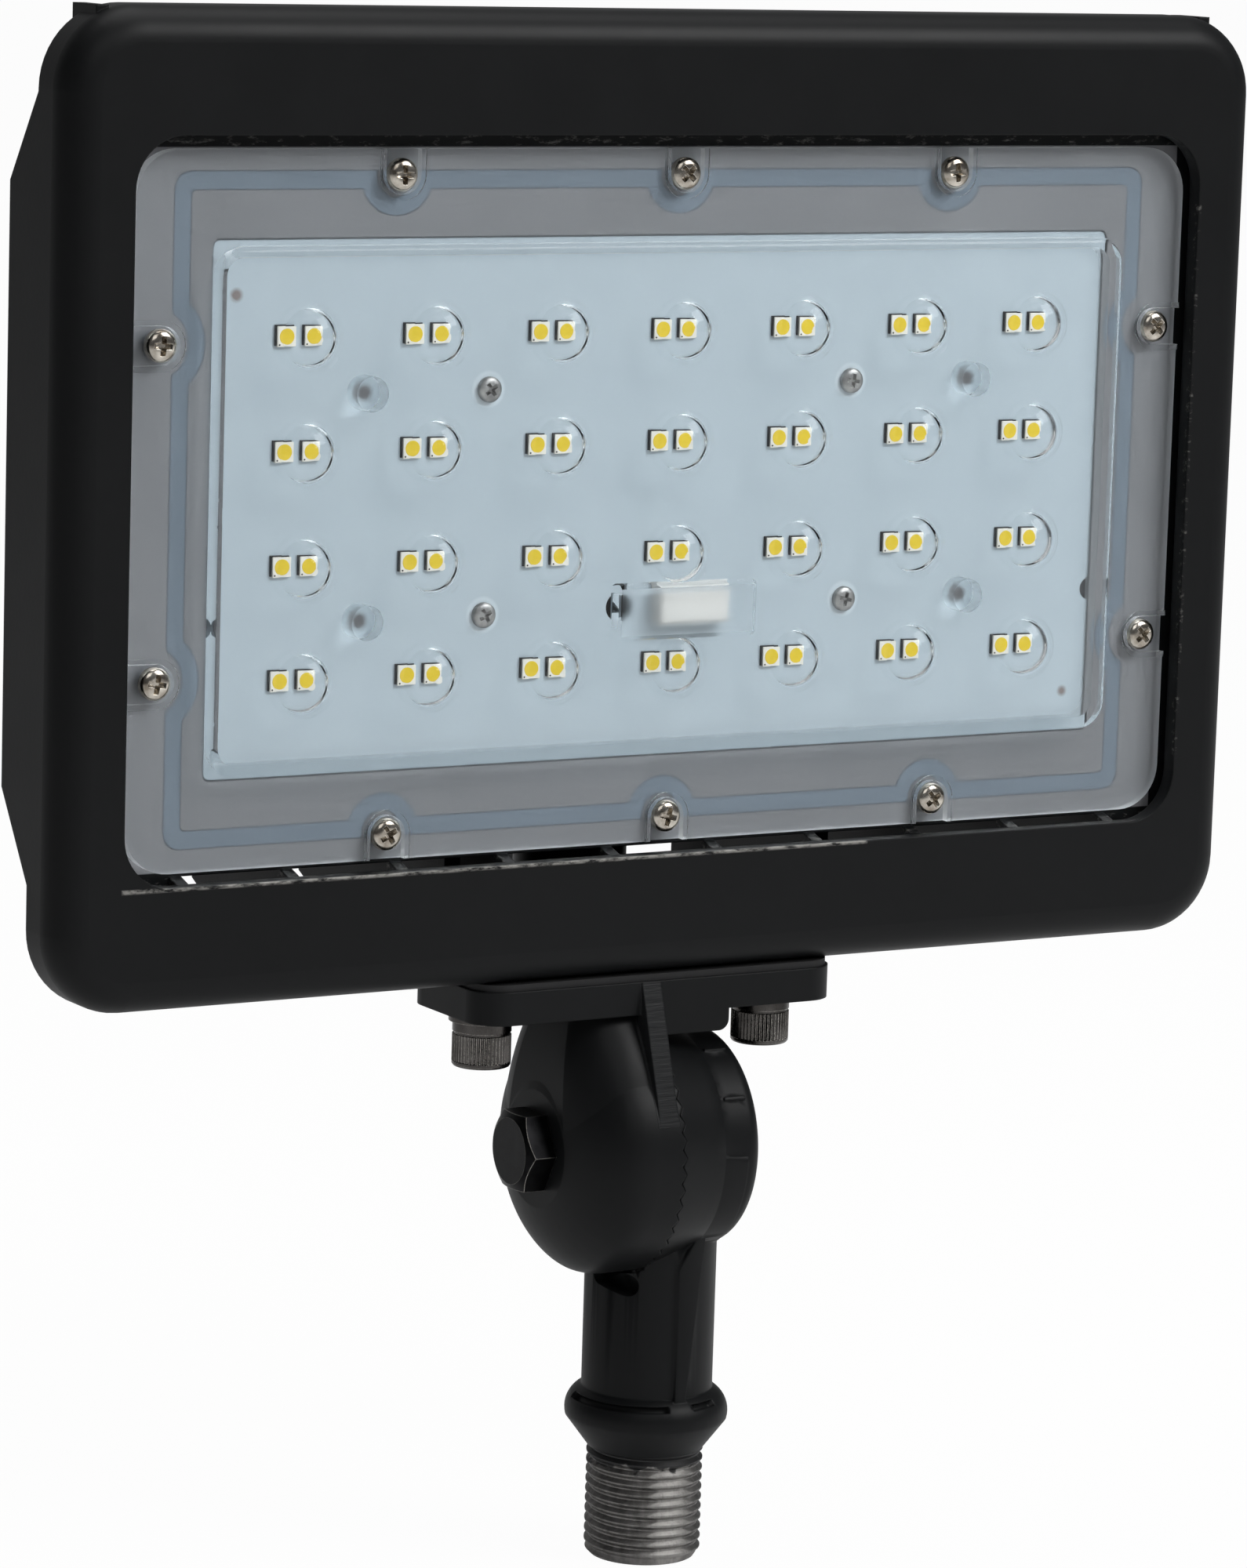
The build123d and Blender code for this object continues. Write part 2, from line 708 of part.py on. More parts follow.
with BuildPart() as optic_lens:
    with BuildSketch(head_plane(lens_back)):
        RectangleRounded(lens_width, lens_height, lens_corner)
    extrude(amount=lens_flange_thickness)
    with BuildSketch(head_plane(lens_front)):
        RectangleRounded(plateau_width, plateau_height, plateau_corner)
    extrude(amount=plateau_rise)
    fillet(optic_lens.faces().sort_by(Axis.Y)[0].edges(), 1.2)
    with BuildSketch(head_plane(lens_front)):
        add(notch_outline(notch_radius + notch_lip))
    extrude(amount=notch_lip_height)
    with BuildSketch(head_plane(plateau_front)):
        with Locations((0, connector_z)):
            RectangleRounded(cover_box_length, cover_box_width, 1)
    extrude(amount=cover_box_rise)
    chamfer(optic_lens.faces().sort_by(Axis.Y)[0].edges(), 0.8)
    with Locations(head_plane(plateau_front)):
        with GridLocations(column_pitch, row_pitch, columns, rows):
            add(dome.part)
    with BuildSketch(head_plane(lens_back)):
        RectangleRounded(plateau_width - 2 * lens_skin, plateau_height - 2 * lens_skin, plateau_corner - lens_skin)
    extrude(amount=lens_back - lens_ceiling, mode=Mode.SUBTRACT)
    with Locations(head_plane(lens_ceiling)):
        with GridLocations(column_pitch, row_pitch, columns, rows):
            add(dome_hollow.part, mode=Mode.SUBTRACT)
    with BuildSketch(head_plane(lens_ceiling)):
        with Locations((0, connector_z)):
            Rectangle(cover_box_length - 2 * lens_skin, cover_box_width - 2 * lens_skin)
    extrude(amount=cover_box_rise - 0.6, mode=Mode.SUBTRACT)
    with BuildSketch(head_plane(board_front)):
        with GridLocations(2 * post_x, 2 * row_pitch, 2, 2):
            Circle(post_diameter / 2)
    extrude(amount=board_front - lens_ceiling)
    with BuildSketch(head_plane(notch_floor)):
        add(notch_outline(notch_radius))
    extrude(amount=notch_depth + notch_lip_height, mode=Mode.SUBTRACT)
    with BuildSketch(head_plane(lens_back)):
        with Locations(*lens_screw_places):
            Circle(small_screw_diameter / 2 + clearance_fit)
    extrude(amount=lens_flange_thickness, mode=Mode.SUBTRACT)
optic_lens.part.label = "optic_lens"
export_step(optic_lens.part, "parts/optic_lens.step")

with BuildPart() as lens_gasket:
    with BuildSketch(head_plane(gasket_floor)):
        add(gasket_band(gasket_width))
    extrude(amount=gasket_depth)
lens_gasket.part.label = "lens_gasket"
export_step(lens_gasket.part, "parts/lens_gasket.step")

lens_screws = pan_screws(
    lens_screw_places,
    notch_floor,
    1,
    small_screw_diameter,
    lens_head_diameter,
    small_head_height,
    lens_screw_length,
)
lens_screws.label = "lens_screws"
export_step(lens_screws, "parts/lens_screws.step")

# Upper arm: the cup of the knuckle, its neck and the flange that carries the housing
with BuildPart() as upper_arm:
    with BuildSketch(turning_plane()):
        with BuildLine():
            cup_points = half_outline(cup_curve, cup_width, rim_radius)
            Spline(*cup_points)
            Polyline(
                cup_points[-1],
                (-cup_width, 0),
                (tooth_face, 0),
                (tooth_face, rim_radius),
                cup_points[0],
            )
        make_face()
    revolve(axis=hinge_axis)
    # Neck between the cup and the flange: it starts with the cup's own outline and is squarer at the flange
    neck_side = -(web_offset + web_thickness / 2)
    neck_sections = (
        (hinge_height - neck_foot_drop, cup_curve, cup_width - neck_foot_inset, rim_radius - neck_foot_inset),
        (hinge_height + neck_waist_rise, cup_curve, neck_waist_width, neck_waist_depth / 2),
        (flange_bottom, neck_top_curve, neck_top_width, neck_top_depth / 2),
    )
    for section_z, curve, length, half_depth in neck_sections:
        with BuildSketch(Plane(origin=(joint_x, 0, section_z))):
            with BuildLine():
                back_points = half_outline(curve, length, half_depth)
                front_points = [(x, -y) for x, y in back_points]
                Spline(*front_points)
                Line(front_points[-1], back_points[-1])
                Spline(*back_points)
                Polyline(front_points[0], (neck_side, -half_depth), (neck_side, half_depth), back_points[0])
            make_face()
    loft()
    with BuildSketch(Plane.XY.offset(flange_bottom)):
        with Locations((joint_x, 0)):
            RectangleRounded(flange_length, flange_depth, flange_corner)
    extrude(amount=flange_thickness)
    # Thicker middle of the flange, on the drum's side of the webs
    with BuildSketch(Plane.XZ.offset(flange_depth / 2)):
        with Locations((joint_x - web_offset - web_thickness, flange_middle_bottom)):
            Rectangle(
                flange_middle_reach + web_offset + web_thickness,
                flange_bottom - flange_middle_bottom,
                align=(Align.MIN, Align.MIN),
            )
        fillet(vertices().group_by(Axis.X)[-1].sort_by(Axis.Y)[0], flange_middle_corner)
    extrude(amount=-flange_depth)
    # The drum of the lower arm turns under the right half of the flange
    with BuildSketch(hinge_plane(-web_offset)):
        Circle(rim_radius + drum_clearance)
        Circle(rim_radius, mode=Mode.SUBTRACT)
    extrude(amount=flange_length / 2, mode=Mode.SUBTRACT)
    with BuildSketch(hinge_plane(tooth_face)):
        Circle(rim_radius + drum_clearance)
    extrude(amount=flange_length / 2, mode=Mode.SUBTRACT)
    # Webs in front of and behind the neck, whose edges run out of the rim
    web_reach = flange_depth / 2
    web_rise = flange_top - hinge_height
    web_foot_angle = atan2(web_rise, web_reach) - acos(rim_radius / hypot(web_reach, web_rise))
    web_foot_reach = rim_radius * cos(web_foot_angle)
    web_foot_rise = rim_radius * sin(web_foot_angle)
    with BuildSketch(hinge_plane(-web_offset, -1)):
        with BuildLine():
            Polyline(
                (-web_reach, web_rise),
                (-web_foot_reach, web_foot_rise),
                (0, 0),
                (web_foot_reach, web_foot_rise),
                (web_reach, web_rise),
                close=True,
            )
        make_face()
    extrude(amount=web_thickness)
    # Wire chamber, its way up through the neck, the bolt hole and the seal's face
    with BuildSketch(hinge_plane(tooth_face)):
        Circle(chamber_radius)
    extrude(amount=-(cup_width - knuckle_wall + tooth_face), mode=Mode.SUBTRACT)
    with BuildSketch(hinge_plane(tooth_face)):
        Circle(tooth_inner_radius)
    extrude(amount=-(tooth_face + seal_face), mode=Mode.SUBTRACT)
    with BuildSketch(Plane.XY.offset(hinge_height + bolt_diameter)):
        with Locations((passage_x, passage_y)):
            Circle(passage_diameter / 2)
    extrude(amount=flange_top - hinge_height - bolt_diameter, mode=Mode.SUBTRACT)
    with BuildSketch(hinge_plane(-cup_width)):
        Circle(bolt_diameter / 2 + bolt_fit)
    extrude(amount=cup_width, mode=Mode.SUBTRACT)
    with BuildSketch(Plane.XY.offset(flange_bottom)):
        with Locations(*flange_screw_places):
            Circle(flange_screw_diameter / 2 + clearance_fit)
    extrude(amount=flange_thickness, mode=Mode.SUBTRACT)
    # Teeth
    with Locations(hinge_plane(-tooth_root)):
        with PolarLocations(0, tooth_count):
            add(tooth_groove.part, mode=Mode.SUBTRACT)
upper_arm.part.label = "upper_arm"
export_step(upper_arm.part, "parts/upper_arm.step")

# Lower arm: the drum of the knuckle, the stem, the collar and the threaded end
with BuildPart() as lower_arm:
    with BuildSketch(Plane.XY.offset(collar_height)):
        Circle(stem_diameter / 2)
    extrude(amount=hinge_height - collar_height)
    # Raised rib down the front of the stem, tapering to the collar
    rib_top = hinge_height - rib_top_drop
    with BuildSketch(Plane.XZ.offset(stem_diameter / 2 + rib_proud)):
        with BuildLine():
            Polyline(
                (rib_left, collar_height),
                (rib_left + rib_foot_width, collar_height),
                (rib_left + rib_top_width, rib_top),
                (rib_left, hinge_height - rib_bend_drop),
                close=True,
            )
        make_face()
    extrude(amount=-stem_diameter / 3)
    # The cup turns in this shoulder
    with BuildSketch(hinge_plane(tooth_root)):
        Circle(rim_radius + cup_clearance)
    extrude(amount=-cup_width, mode=Mode.SUBTRACT)
    # Drum with its stepped end cap
    with BuildSketch(turning_plane()):
        with BuildLine():
            Polyline(
                (-tooth_face, 0),
                (-tooth_face, rim_radius),
                (drum_shoulder, drum_radius + drum_cap_step),
                (drum_shoulder, drum_radius),
                (drum_width, drum_radius - drum_cap_step),
                (drum_width, 0),
                close=True,
            )
        make_face()
        fillet(vertices().group_by(Axis.X)[-1].sort_by(Axis.Y)[-1], drum_edge_radius)
    revolve(axis=hinge_axis)
    # The lower half of the end cap is raised, up to the hinge's height
    with BuildSketch(Plane(origin=(joint_x, 0, hinge_height))):
        with Locations((drum_shoulder, -drum_radius - riser_step)):
            Rectangle(riser_width, drum_edge_radius, align=(Align.MIN, Align.MIN))
    revolve(axis=hinge_axis, revolution_arc=180)
    # Pocket in the shoulder below the cup
    with BuildSketch(outward_plane(pocket_direction, stem_diameter / 2 - pocket_depth, hinge_height - pocket_drop)):
        SlotOverall(pocket_length, pocket_height, rotation=-pocket_slope)
    extrude(amount=stem_diameter / 2, mode=Mode.SUBTRACT)
    # Collar, with a groove round its upper front on each side of the rib
    with BuildSketch(Plane.XZ):
        with BuildLine():
            Polyline(
                (stem_diameter / 2 - 1, collar_shoulder),
                (0, collar_shoulder),
                (0, 0),
                (thread_diameter / 2, 0),
                (collar_diameter / 2 - 0.4, collar_height - 1),
            )
            ThreePointArc(
                (collar_diameter / 2 - 0.4, collar_height - 1),
                (collar_diameter / 2 - 0.4, collar_height + 1.4),
                (stem_diameter / 2 - 1, collar_shoulder + 0.9),
            )
            Line((stem_diameter / 2 - 1, collar_shoulder + 0.9), (stem_diameter / 2 - 1, collar_shoulder))
        make_face()
    revolve(axis=Axis.Z)
    # Threaded end
    with BuildSketch(Plane.XY):
        Circle(thread_diameter / 2)
    extrude(amount=-thread_length)
    chamfer(lower_arm.faces().sort_by(Axis.Z)[0].edges(), thread_chamfer)
    for groove_start, groove_span in collar_groove_spans:
        with BuildSketch(stem_plane(groove_start)):
            with Locations((collar_diameter / 2 - 1.6, (collar_height + collar_shoulder) / 2 + 1)):
                Circle(collar_groove_radius)
        revolve(axis=Axis.Z, revolution_arc=groove_span, mode=Mode.SUBTRACT)
    # Index marks on the end cap of the drum
    for mark_angle in index_mark_angles:
        with BuildSketch(radial_plane(mark_angle).offset(drum_radius - 1)):
            with Locations((drum_shoulder + index_mark_length / 2 + 1, 0)):
                Rectangle(index_mark_length, index_mark_width)
        extrude(amount=1 + index_mark_height)
    # Wire bore and the chamber round the bolt boss
    with BuildSketch(Plane.XY.offset(-thread_length)):
        Circle(wire_bore / 2)
    extrude(amount=wire_bore_depth, mode=Mode.SUBTRACT)
    with BuildSketch(Plane.XY):
        Circle(stem_bore / 2)
    extrude(amount=hinge_height - bolt_boss_radius - 2, mode=Mode.SUBTRACT)
    with BuildSketch(hinge_plane(-tooth_face)):
        Circle(chamber_radius)
    extrude(amount=tooth_face + drum_width - knuckle_wall, mode=Mode.SUBTRACT)
    with BuildSketch(hinge_plane(bolt_boss_gap)):
        Circle(bolt_boss_radius)
    extrude(amount=drum_width - bolt_boss_gap - knuckle_wall / 2)
    with BuildSketch(hinge_plane(bolt_boss_gap)):
        Circle(bolt_diameter / 2 + tapped_fit)
    extrude(amount=drum_width - bolt_boss_gap - knuckle_wall, mode=Mode.SUBTRACT)
    # Face and groove for the seal
    with BuildSketch(hinge_plane(-tooth_face)):
        Circle(tooth_inner_radius)
        Circle(bolt_boss_radius, mode=Mode.SUBTRACT)
    extrude(amount=tooth_face + seal_face, mode=Mode.SUBTRACT)
    with BuildSketch(hinge_plane(seal_face)):
        Circle(seal_radius + seal_section / 2)
        Circle(seal_radius - seal_section / 2, mode=Mode.SUBTRACT)
    extrude(amount=seal_section - 2 * seal_face + seal_fit, mode=Mode.SUBTRACT)
    # Teeth, half a pitch from those of the cup
    with Locations(hinge_plane(tooth_root, -1)):
        with PolarLocations(0, tooth_count, start_angle=rim_pitch / 2):
            add(tooth_groove.part, mode=Mode.SUBTRACT)
lower_arm.part.label = "lower_arm"
export_step(lower_arm.part, "parts/lower_arm.step")

with BuildPart() as knuckle_seal:
    with BuildSketch(hinge_plane(seal_fit - seal_face)):
        Circle(seal_radius + seal_section / 2)
        Circle(seal_radius - seal_section / 2, mode=Mode.SUBTRACT)
    extrude(amount=seal_section)
knuckle_seal.part.label = "knuckle_seal"
export_step(knuckle_seal.part, "parts/knuckle_seal.step")

# Pivot bolt: a hex head outside the cup, screwed into the boss of the lower arm
with BuildPart() as pivot_bolt:
    with BuildSketch(hinge_plane(-cup_width, -1)):
        RegularPolygon(bolt_across_flats / 2, 6, major_radius=False)
    extrude(amount=bolt_head_height)
    with BuildSketch(turning_plane()):
        with BuildLine():
            head_end = -cup_width - bolt_head_height
            chamfer_rise = bolt_across_flats - bolt_face_diameter / 2
            Polyline(
                (head_end, bolt_face_diameter / 2),
                (head_end, bolt_across_flats),
                (head_end + chamfer_rise * tan(radians(bolt_chamfer_angle)), bolt_across_flats),
                close=True,
            )
        make_face()
    revolve(axis=hinge_axis, mode=Mode.SUBTRACT)
    with BuildSketch(hinge_plane(-cup_width)):
        Circle(bolt_diameter / 2)
    extrude(amount=bolt_length)
pivot_bolt.part.label = "pivot_bolt"
export_step(pivot_bolt.part, "parts/pivot_bolt.step")

# Gasket, screws and washers of the flange
with BuildPart() as flange_gasket:
    with BuildSketch(Plane.XY.offset(flange_top)):
        with Locations((joint_x, 0)):
            RectangleRounded(flange_length - 1, flange_depth - 1, flange_corner - 0.5)
        with Locations((passage_x, passage_y)):
            Circle(passage_diameter / 2, mode=Mode.SUBTRACT)
        with Locations(*flange_screw_places):
            Circle(flange_screw_diameter / 2 + clearance_fit, mode=Mode.SUBTRACT)
    extrude(amount=flange_gasket_thickness)
flange_gasket.part.label = "flange_gasket"
export_step(flange_gasket.part, "parts/flange_gasket.step")

with BuildPart() as flange_flat_washers:
    with BuildSketch(Plane.XY.offset(flange_bottom)):
        with Locations(*flange_screw_places):
            Circle(flat_washer_diameter / 2)
            Circle(flange_screw_diameter / 2 + clearance_fit, mode=Mode.SUBTRACT)
    extrude(amount=-flat_washer_thickness)
flange_flat_washers.part.label = "flange_flat_washers"
export_step(flange_flat_washers.part, "parts/flange_flat_washers.step")

spring_washer_top = flange_bottom - flat_washer_thickness
with BuildPart() as flange_spring_washers:
    with BuildSketch(Plane.XY.offset(spring_washer_top)):
        with Locations(*flange_screw_places):
            Circle(flange_head_diameter / 2)
            Circle(flange_screw_diameter / 2 + clearance_fit, mode=Mode.SUBTRACT)
            with Locations((0, flange_head_diameter / 2)):
                Rectangle(1, flange_head_diameter / 2, mode=Mode.SUBTRACT)
    extrude(amount=-spring_washer_thickness)
flange_spring_washers.part.label = "flange_spring_washers"
export_step(flange_spring_washers.part, "parts/flange_spring_washers.step")

screw_seat = spring_washer_top - spring_washer_thickness
with BuildPart() as flange_screws:
    with BuildSketch(Plane.XY.offset(screw_seat)):
        with Locations(*flange_screw_places):
            Circle(flange_head_diameter / 2)
    extrude(amount=-flange_head_height)
    chamfer(flange_screws.edges().group_by(Axis.Z)[0], 0.6)
    with BuildSketch(Plane.XY.offset(screw_seat - flange_head_height)):
        with Locations(*flange_screw_places):
            RegularPolygon(flange_hex_key / 2, 6, major_radius=False)
    extrude(amount=flange_key_depth, mode=Mode.SUBTRACT)
    with BuildSketch(Plane.XY.offset(screw_seat)):
        with Locations(*flange_screw_places):
            Circle(flange_screw_diameter / 2)
    extrude(amount=flange_screw_length)
flange_screws.part.label = "flange_screws"
export_step(flange_screws.part, "parts/flange_screws.step")
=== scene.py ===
from math import cos, pi, radians, sin

import bpy
import bmesh
from mathutils import Matrix, Vector


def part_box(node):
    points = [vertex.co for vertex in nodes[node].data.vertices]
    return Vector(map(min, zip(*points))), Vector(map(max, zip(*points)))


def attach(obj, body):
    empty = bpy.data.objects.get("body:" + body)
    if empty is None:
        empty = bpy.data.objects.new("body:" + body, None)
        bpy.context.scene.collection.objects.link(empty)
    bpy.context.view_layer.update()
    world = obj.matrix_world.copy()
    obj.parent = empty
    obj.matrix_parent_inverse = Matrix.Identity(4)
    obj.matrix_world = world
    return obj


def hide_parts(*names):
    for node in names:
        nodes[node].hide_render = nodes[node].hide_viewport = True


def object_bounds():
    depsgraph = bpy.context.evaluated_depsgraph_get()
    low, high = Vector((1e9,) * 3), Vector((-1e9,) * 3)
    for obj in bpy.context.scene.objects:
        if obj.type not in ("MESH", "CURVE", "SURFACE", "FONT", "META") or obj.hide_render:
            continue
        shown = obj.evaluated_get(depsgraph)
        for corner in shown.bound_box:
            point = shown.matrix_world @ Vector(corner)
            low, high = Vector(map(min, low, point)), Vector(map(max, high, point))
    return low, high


# LED flood light on a toothed knuckle: the finish of every piece, and the studio round it.
# Metres, Z up, the light shines towards -Y.
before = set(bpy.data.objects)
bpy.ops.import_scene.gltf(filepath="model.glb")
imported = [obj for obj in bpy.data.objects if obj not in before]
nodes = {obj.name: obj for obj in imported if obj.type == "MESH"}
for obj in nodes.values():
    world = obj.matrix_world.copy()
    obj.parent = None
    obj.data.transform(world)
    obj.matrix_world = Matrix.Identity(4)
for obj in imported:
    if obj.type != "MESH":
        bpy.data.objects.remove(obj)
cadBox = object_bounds()
scene = bpy.context.scene
mm = 0.001
touch = 0.01 * mm

# Places taken from the frame: the middle of the head, its board, the lens and the hinge
lensLow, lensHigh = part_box("optic_lens")
packageLow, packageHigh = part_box("led_packages")
boltLow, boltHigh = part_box("pivot_bolt")
headX = (lensLow.x + lensHigh.x) / 2
headZ = (lensLow.z + lensHigh.z) / 2
hingeZ = (boltLow.z + boltHigh.z) / 2
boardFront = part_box("led_board")[0].y
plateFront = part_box("lens_gasket")[0].y
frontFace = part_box("housing")[0].y
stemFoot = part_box("lower_arm")[0].z


def onHead(x, y, z):
    # a point x to the right of the head's middle and z above it
    return Vector((headX + x, y, headZ + z))


# Colours and nodes

def hexColour(code):
    # sRGB hex to the linear values that shaders take
    channels = [int(code[i:i + 2], 16) / 255 for i in (1, 3, 5)]
    linear = [c / 12.92 if c <= 0.04045 else ((c + 0.055) / 1.055) ** 2.4 for c in channels]
    return (*linear, 1.0)


def addNode(tree, kind, settings, output=0):
    # a shader node of a kind; a setting is an attribute, or an input by name or number, and its value is
    # plain or another node's output to link; gives back one output
    node = tree.nodes.new("ShaderNode" + kind)
    for name, value in settings.items():
        if isinstance(value, bpy.types.NodeSocket):
            tree.links.new(value, node.inputs[name])
        elif isinstance(name, str) and hasattr(node, name):
            setattr(node, name, value)
        else:
            node.inputs[name].default_value = value
    return node.outputs[output] if len(node.outputs) else None


def newMaterial(name):
    # an empty node material with its tree and Object coordinates
    material = bpy.data.materials.new(name)
    material.use_nodes = True
    tree = material.node_tree
    tree.nodes.clear()
    return material, tree, addNode(tree, "TexCoord", {}, "Object")


def stretchedNoise(tree, place, size, detail=2.0, roughness=0.5, stretch=(1, 1, 1)):
    # noise with features of about a size, drawn out along each axis whose stretch is under 1
    scaled = addNode(tree, "VectorMath", {"operation": "MULTIPLY", 0: place, 1: stretch})
    return addNode(tree, "TexNoise", {"Vector": scaled, "Scale": 1 / size, "Detail": detail,
                                      "Roughness": roughness}, "Fac")


def boxMask(tree, place, low, high, soft):
    # 1 inside a box and 0 outside it, over a soft edge
    centre = (Vector(low) + Vector(high)) / 2
    half = (Vector(high) - Vector(low)) / 2
    away = addNode(tree, "VectorMath", {"operation": "SUBTRACT", 0: place, 1: centre})
    reach = addNode(tree, "VectorMath", {"operation": "ABSOLUTE", 0: away})
    past = addNode(tree, "VectorMath", {"operation": "SUBTRACT", 0: reach, 1: half})
    axes = addNode(tree, "SeparateXYZ", {0: past}).node.outputs
    wide = addNode(tree, "Math", {"operation": "MAXIMUM", 0: axes["X"], 1: axes["Y"]})
    most = addNode(tree, "Math", {"operation": "MAXIMUM", 0: wide, 1: axes["Z"]})
    return addNode(tree, "MapRange", {"Value": most, "From Min": soft / 2, "From Max": -soft / 2})


def spotMask(tree, place, centre, radius, soft):
    # 1 within a radius of a point, seen from the front, and 0 past it
    flat = addNode(tree, "VectorMath", {"operation": "MULTIPLY", 0: place, 1: (1, 0, 1)})
    middle = (centre[0], 0, centre[2])
    away = addNode(tree, "VectorMath", {"operation": "DISTANCE", 0: flat, 1: middle}, "Value")
    return addNode(tree, "MapRange", {"Value": away, "From Min": radius + soft / 2,
                                      "From Max": radius - soft / 2})


def edgeMask(tree, radius, start, full):
    # the normal rounded over an edge, and how far it leaves the flat one
    rounded = addNode(tree, "Bevel", {"samples": 6, "Radius": radius})
    flat = addNode(tree, "NewGeometry", {}, "Normal")
    dot = addNode(tree, "VectorMath", {"operation": "DOT_PRODUCT", 0: rounded, 1: flat}, "Value")
    return rounded, addNode(tree, "MapRange", {"Value": dot, "From Min": start, "From Max": full})


# Materials

powderCoat = {
    "colour": "#0E0F10",
    "worn": "#161718",
    "metal": "#A9A7A2",
    "roughness": 0.42,
    "shine": 0.17,
    "peel": 0.9 * mm,
    "grain": 0.22 * mm,
    "edge": 0.45 * mm,
    "edgeWear": 0.06,
    # the lighter tone of the web's tool marks, a painted highlight
    "toolMarksAndSheen": "#262728",
}
# Places where the coat is rubbed through, measured from the head's middle: the lip's lower edge, the lower
# gap, the upper gap and the right edge of the opening. Each is a box and how much of the metal shows there.
housingRubs = [
    (onHead(-106 * mm, frontFace - 1 * mm, -62.5 * mm),
     onHead(40 * mm, frontFace + 0.5 * mm, -61.8 * mm), 0.80),
    (onHead(-107 * mm, frontFace + 0.7 * mm, -64 * mm),
     onHead(107 * mm, plateFront + 1 * mm, -61.3 * mm), 0.30),
    (onHead(-104 * mm, frontFace + 0.3 * mm, 60.3 * mm),
     onHead(104 * mm, plateFront + 1 * mm, 63.2 * mm), 0.22),
    (onHead(105 * mm, frontFace - 0.4 * mm, -50 * mm),
     onHead(106.3 * mm, frontFace + 1.2 * mm, 50 * mm), 0.24),
]
bareSeat = {
    "low": onHead(-104.3 * mm, plateFront - 1 * mm, -60.3 * mm),
    "high": onHead(104.3 * mm, plateFront + 4 * mm, 60.3 * mm),
    "dark": "#77777A",
    "light": "#98979A",
}
# the web's front, where tool marks show in relief and their lighter tone is a painted highlight
webFront = {
    "low": (headX - 5 * mm, -30 * mm, hingeZ + 7 * mm),
    "high": (headX - 0.7 * mm, -13.2 * mm, hingeZ + 31 * mm),
}


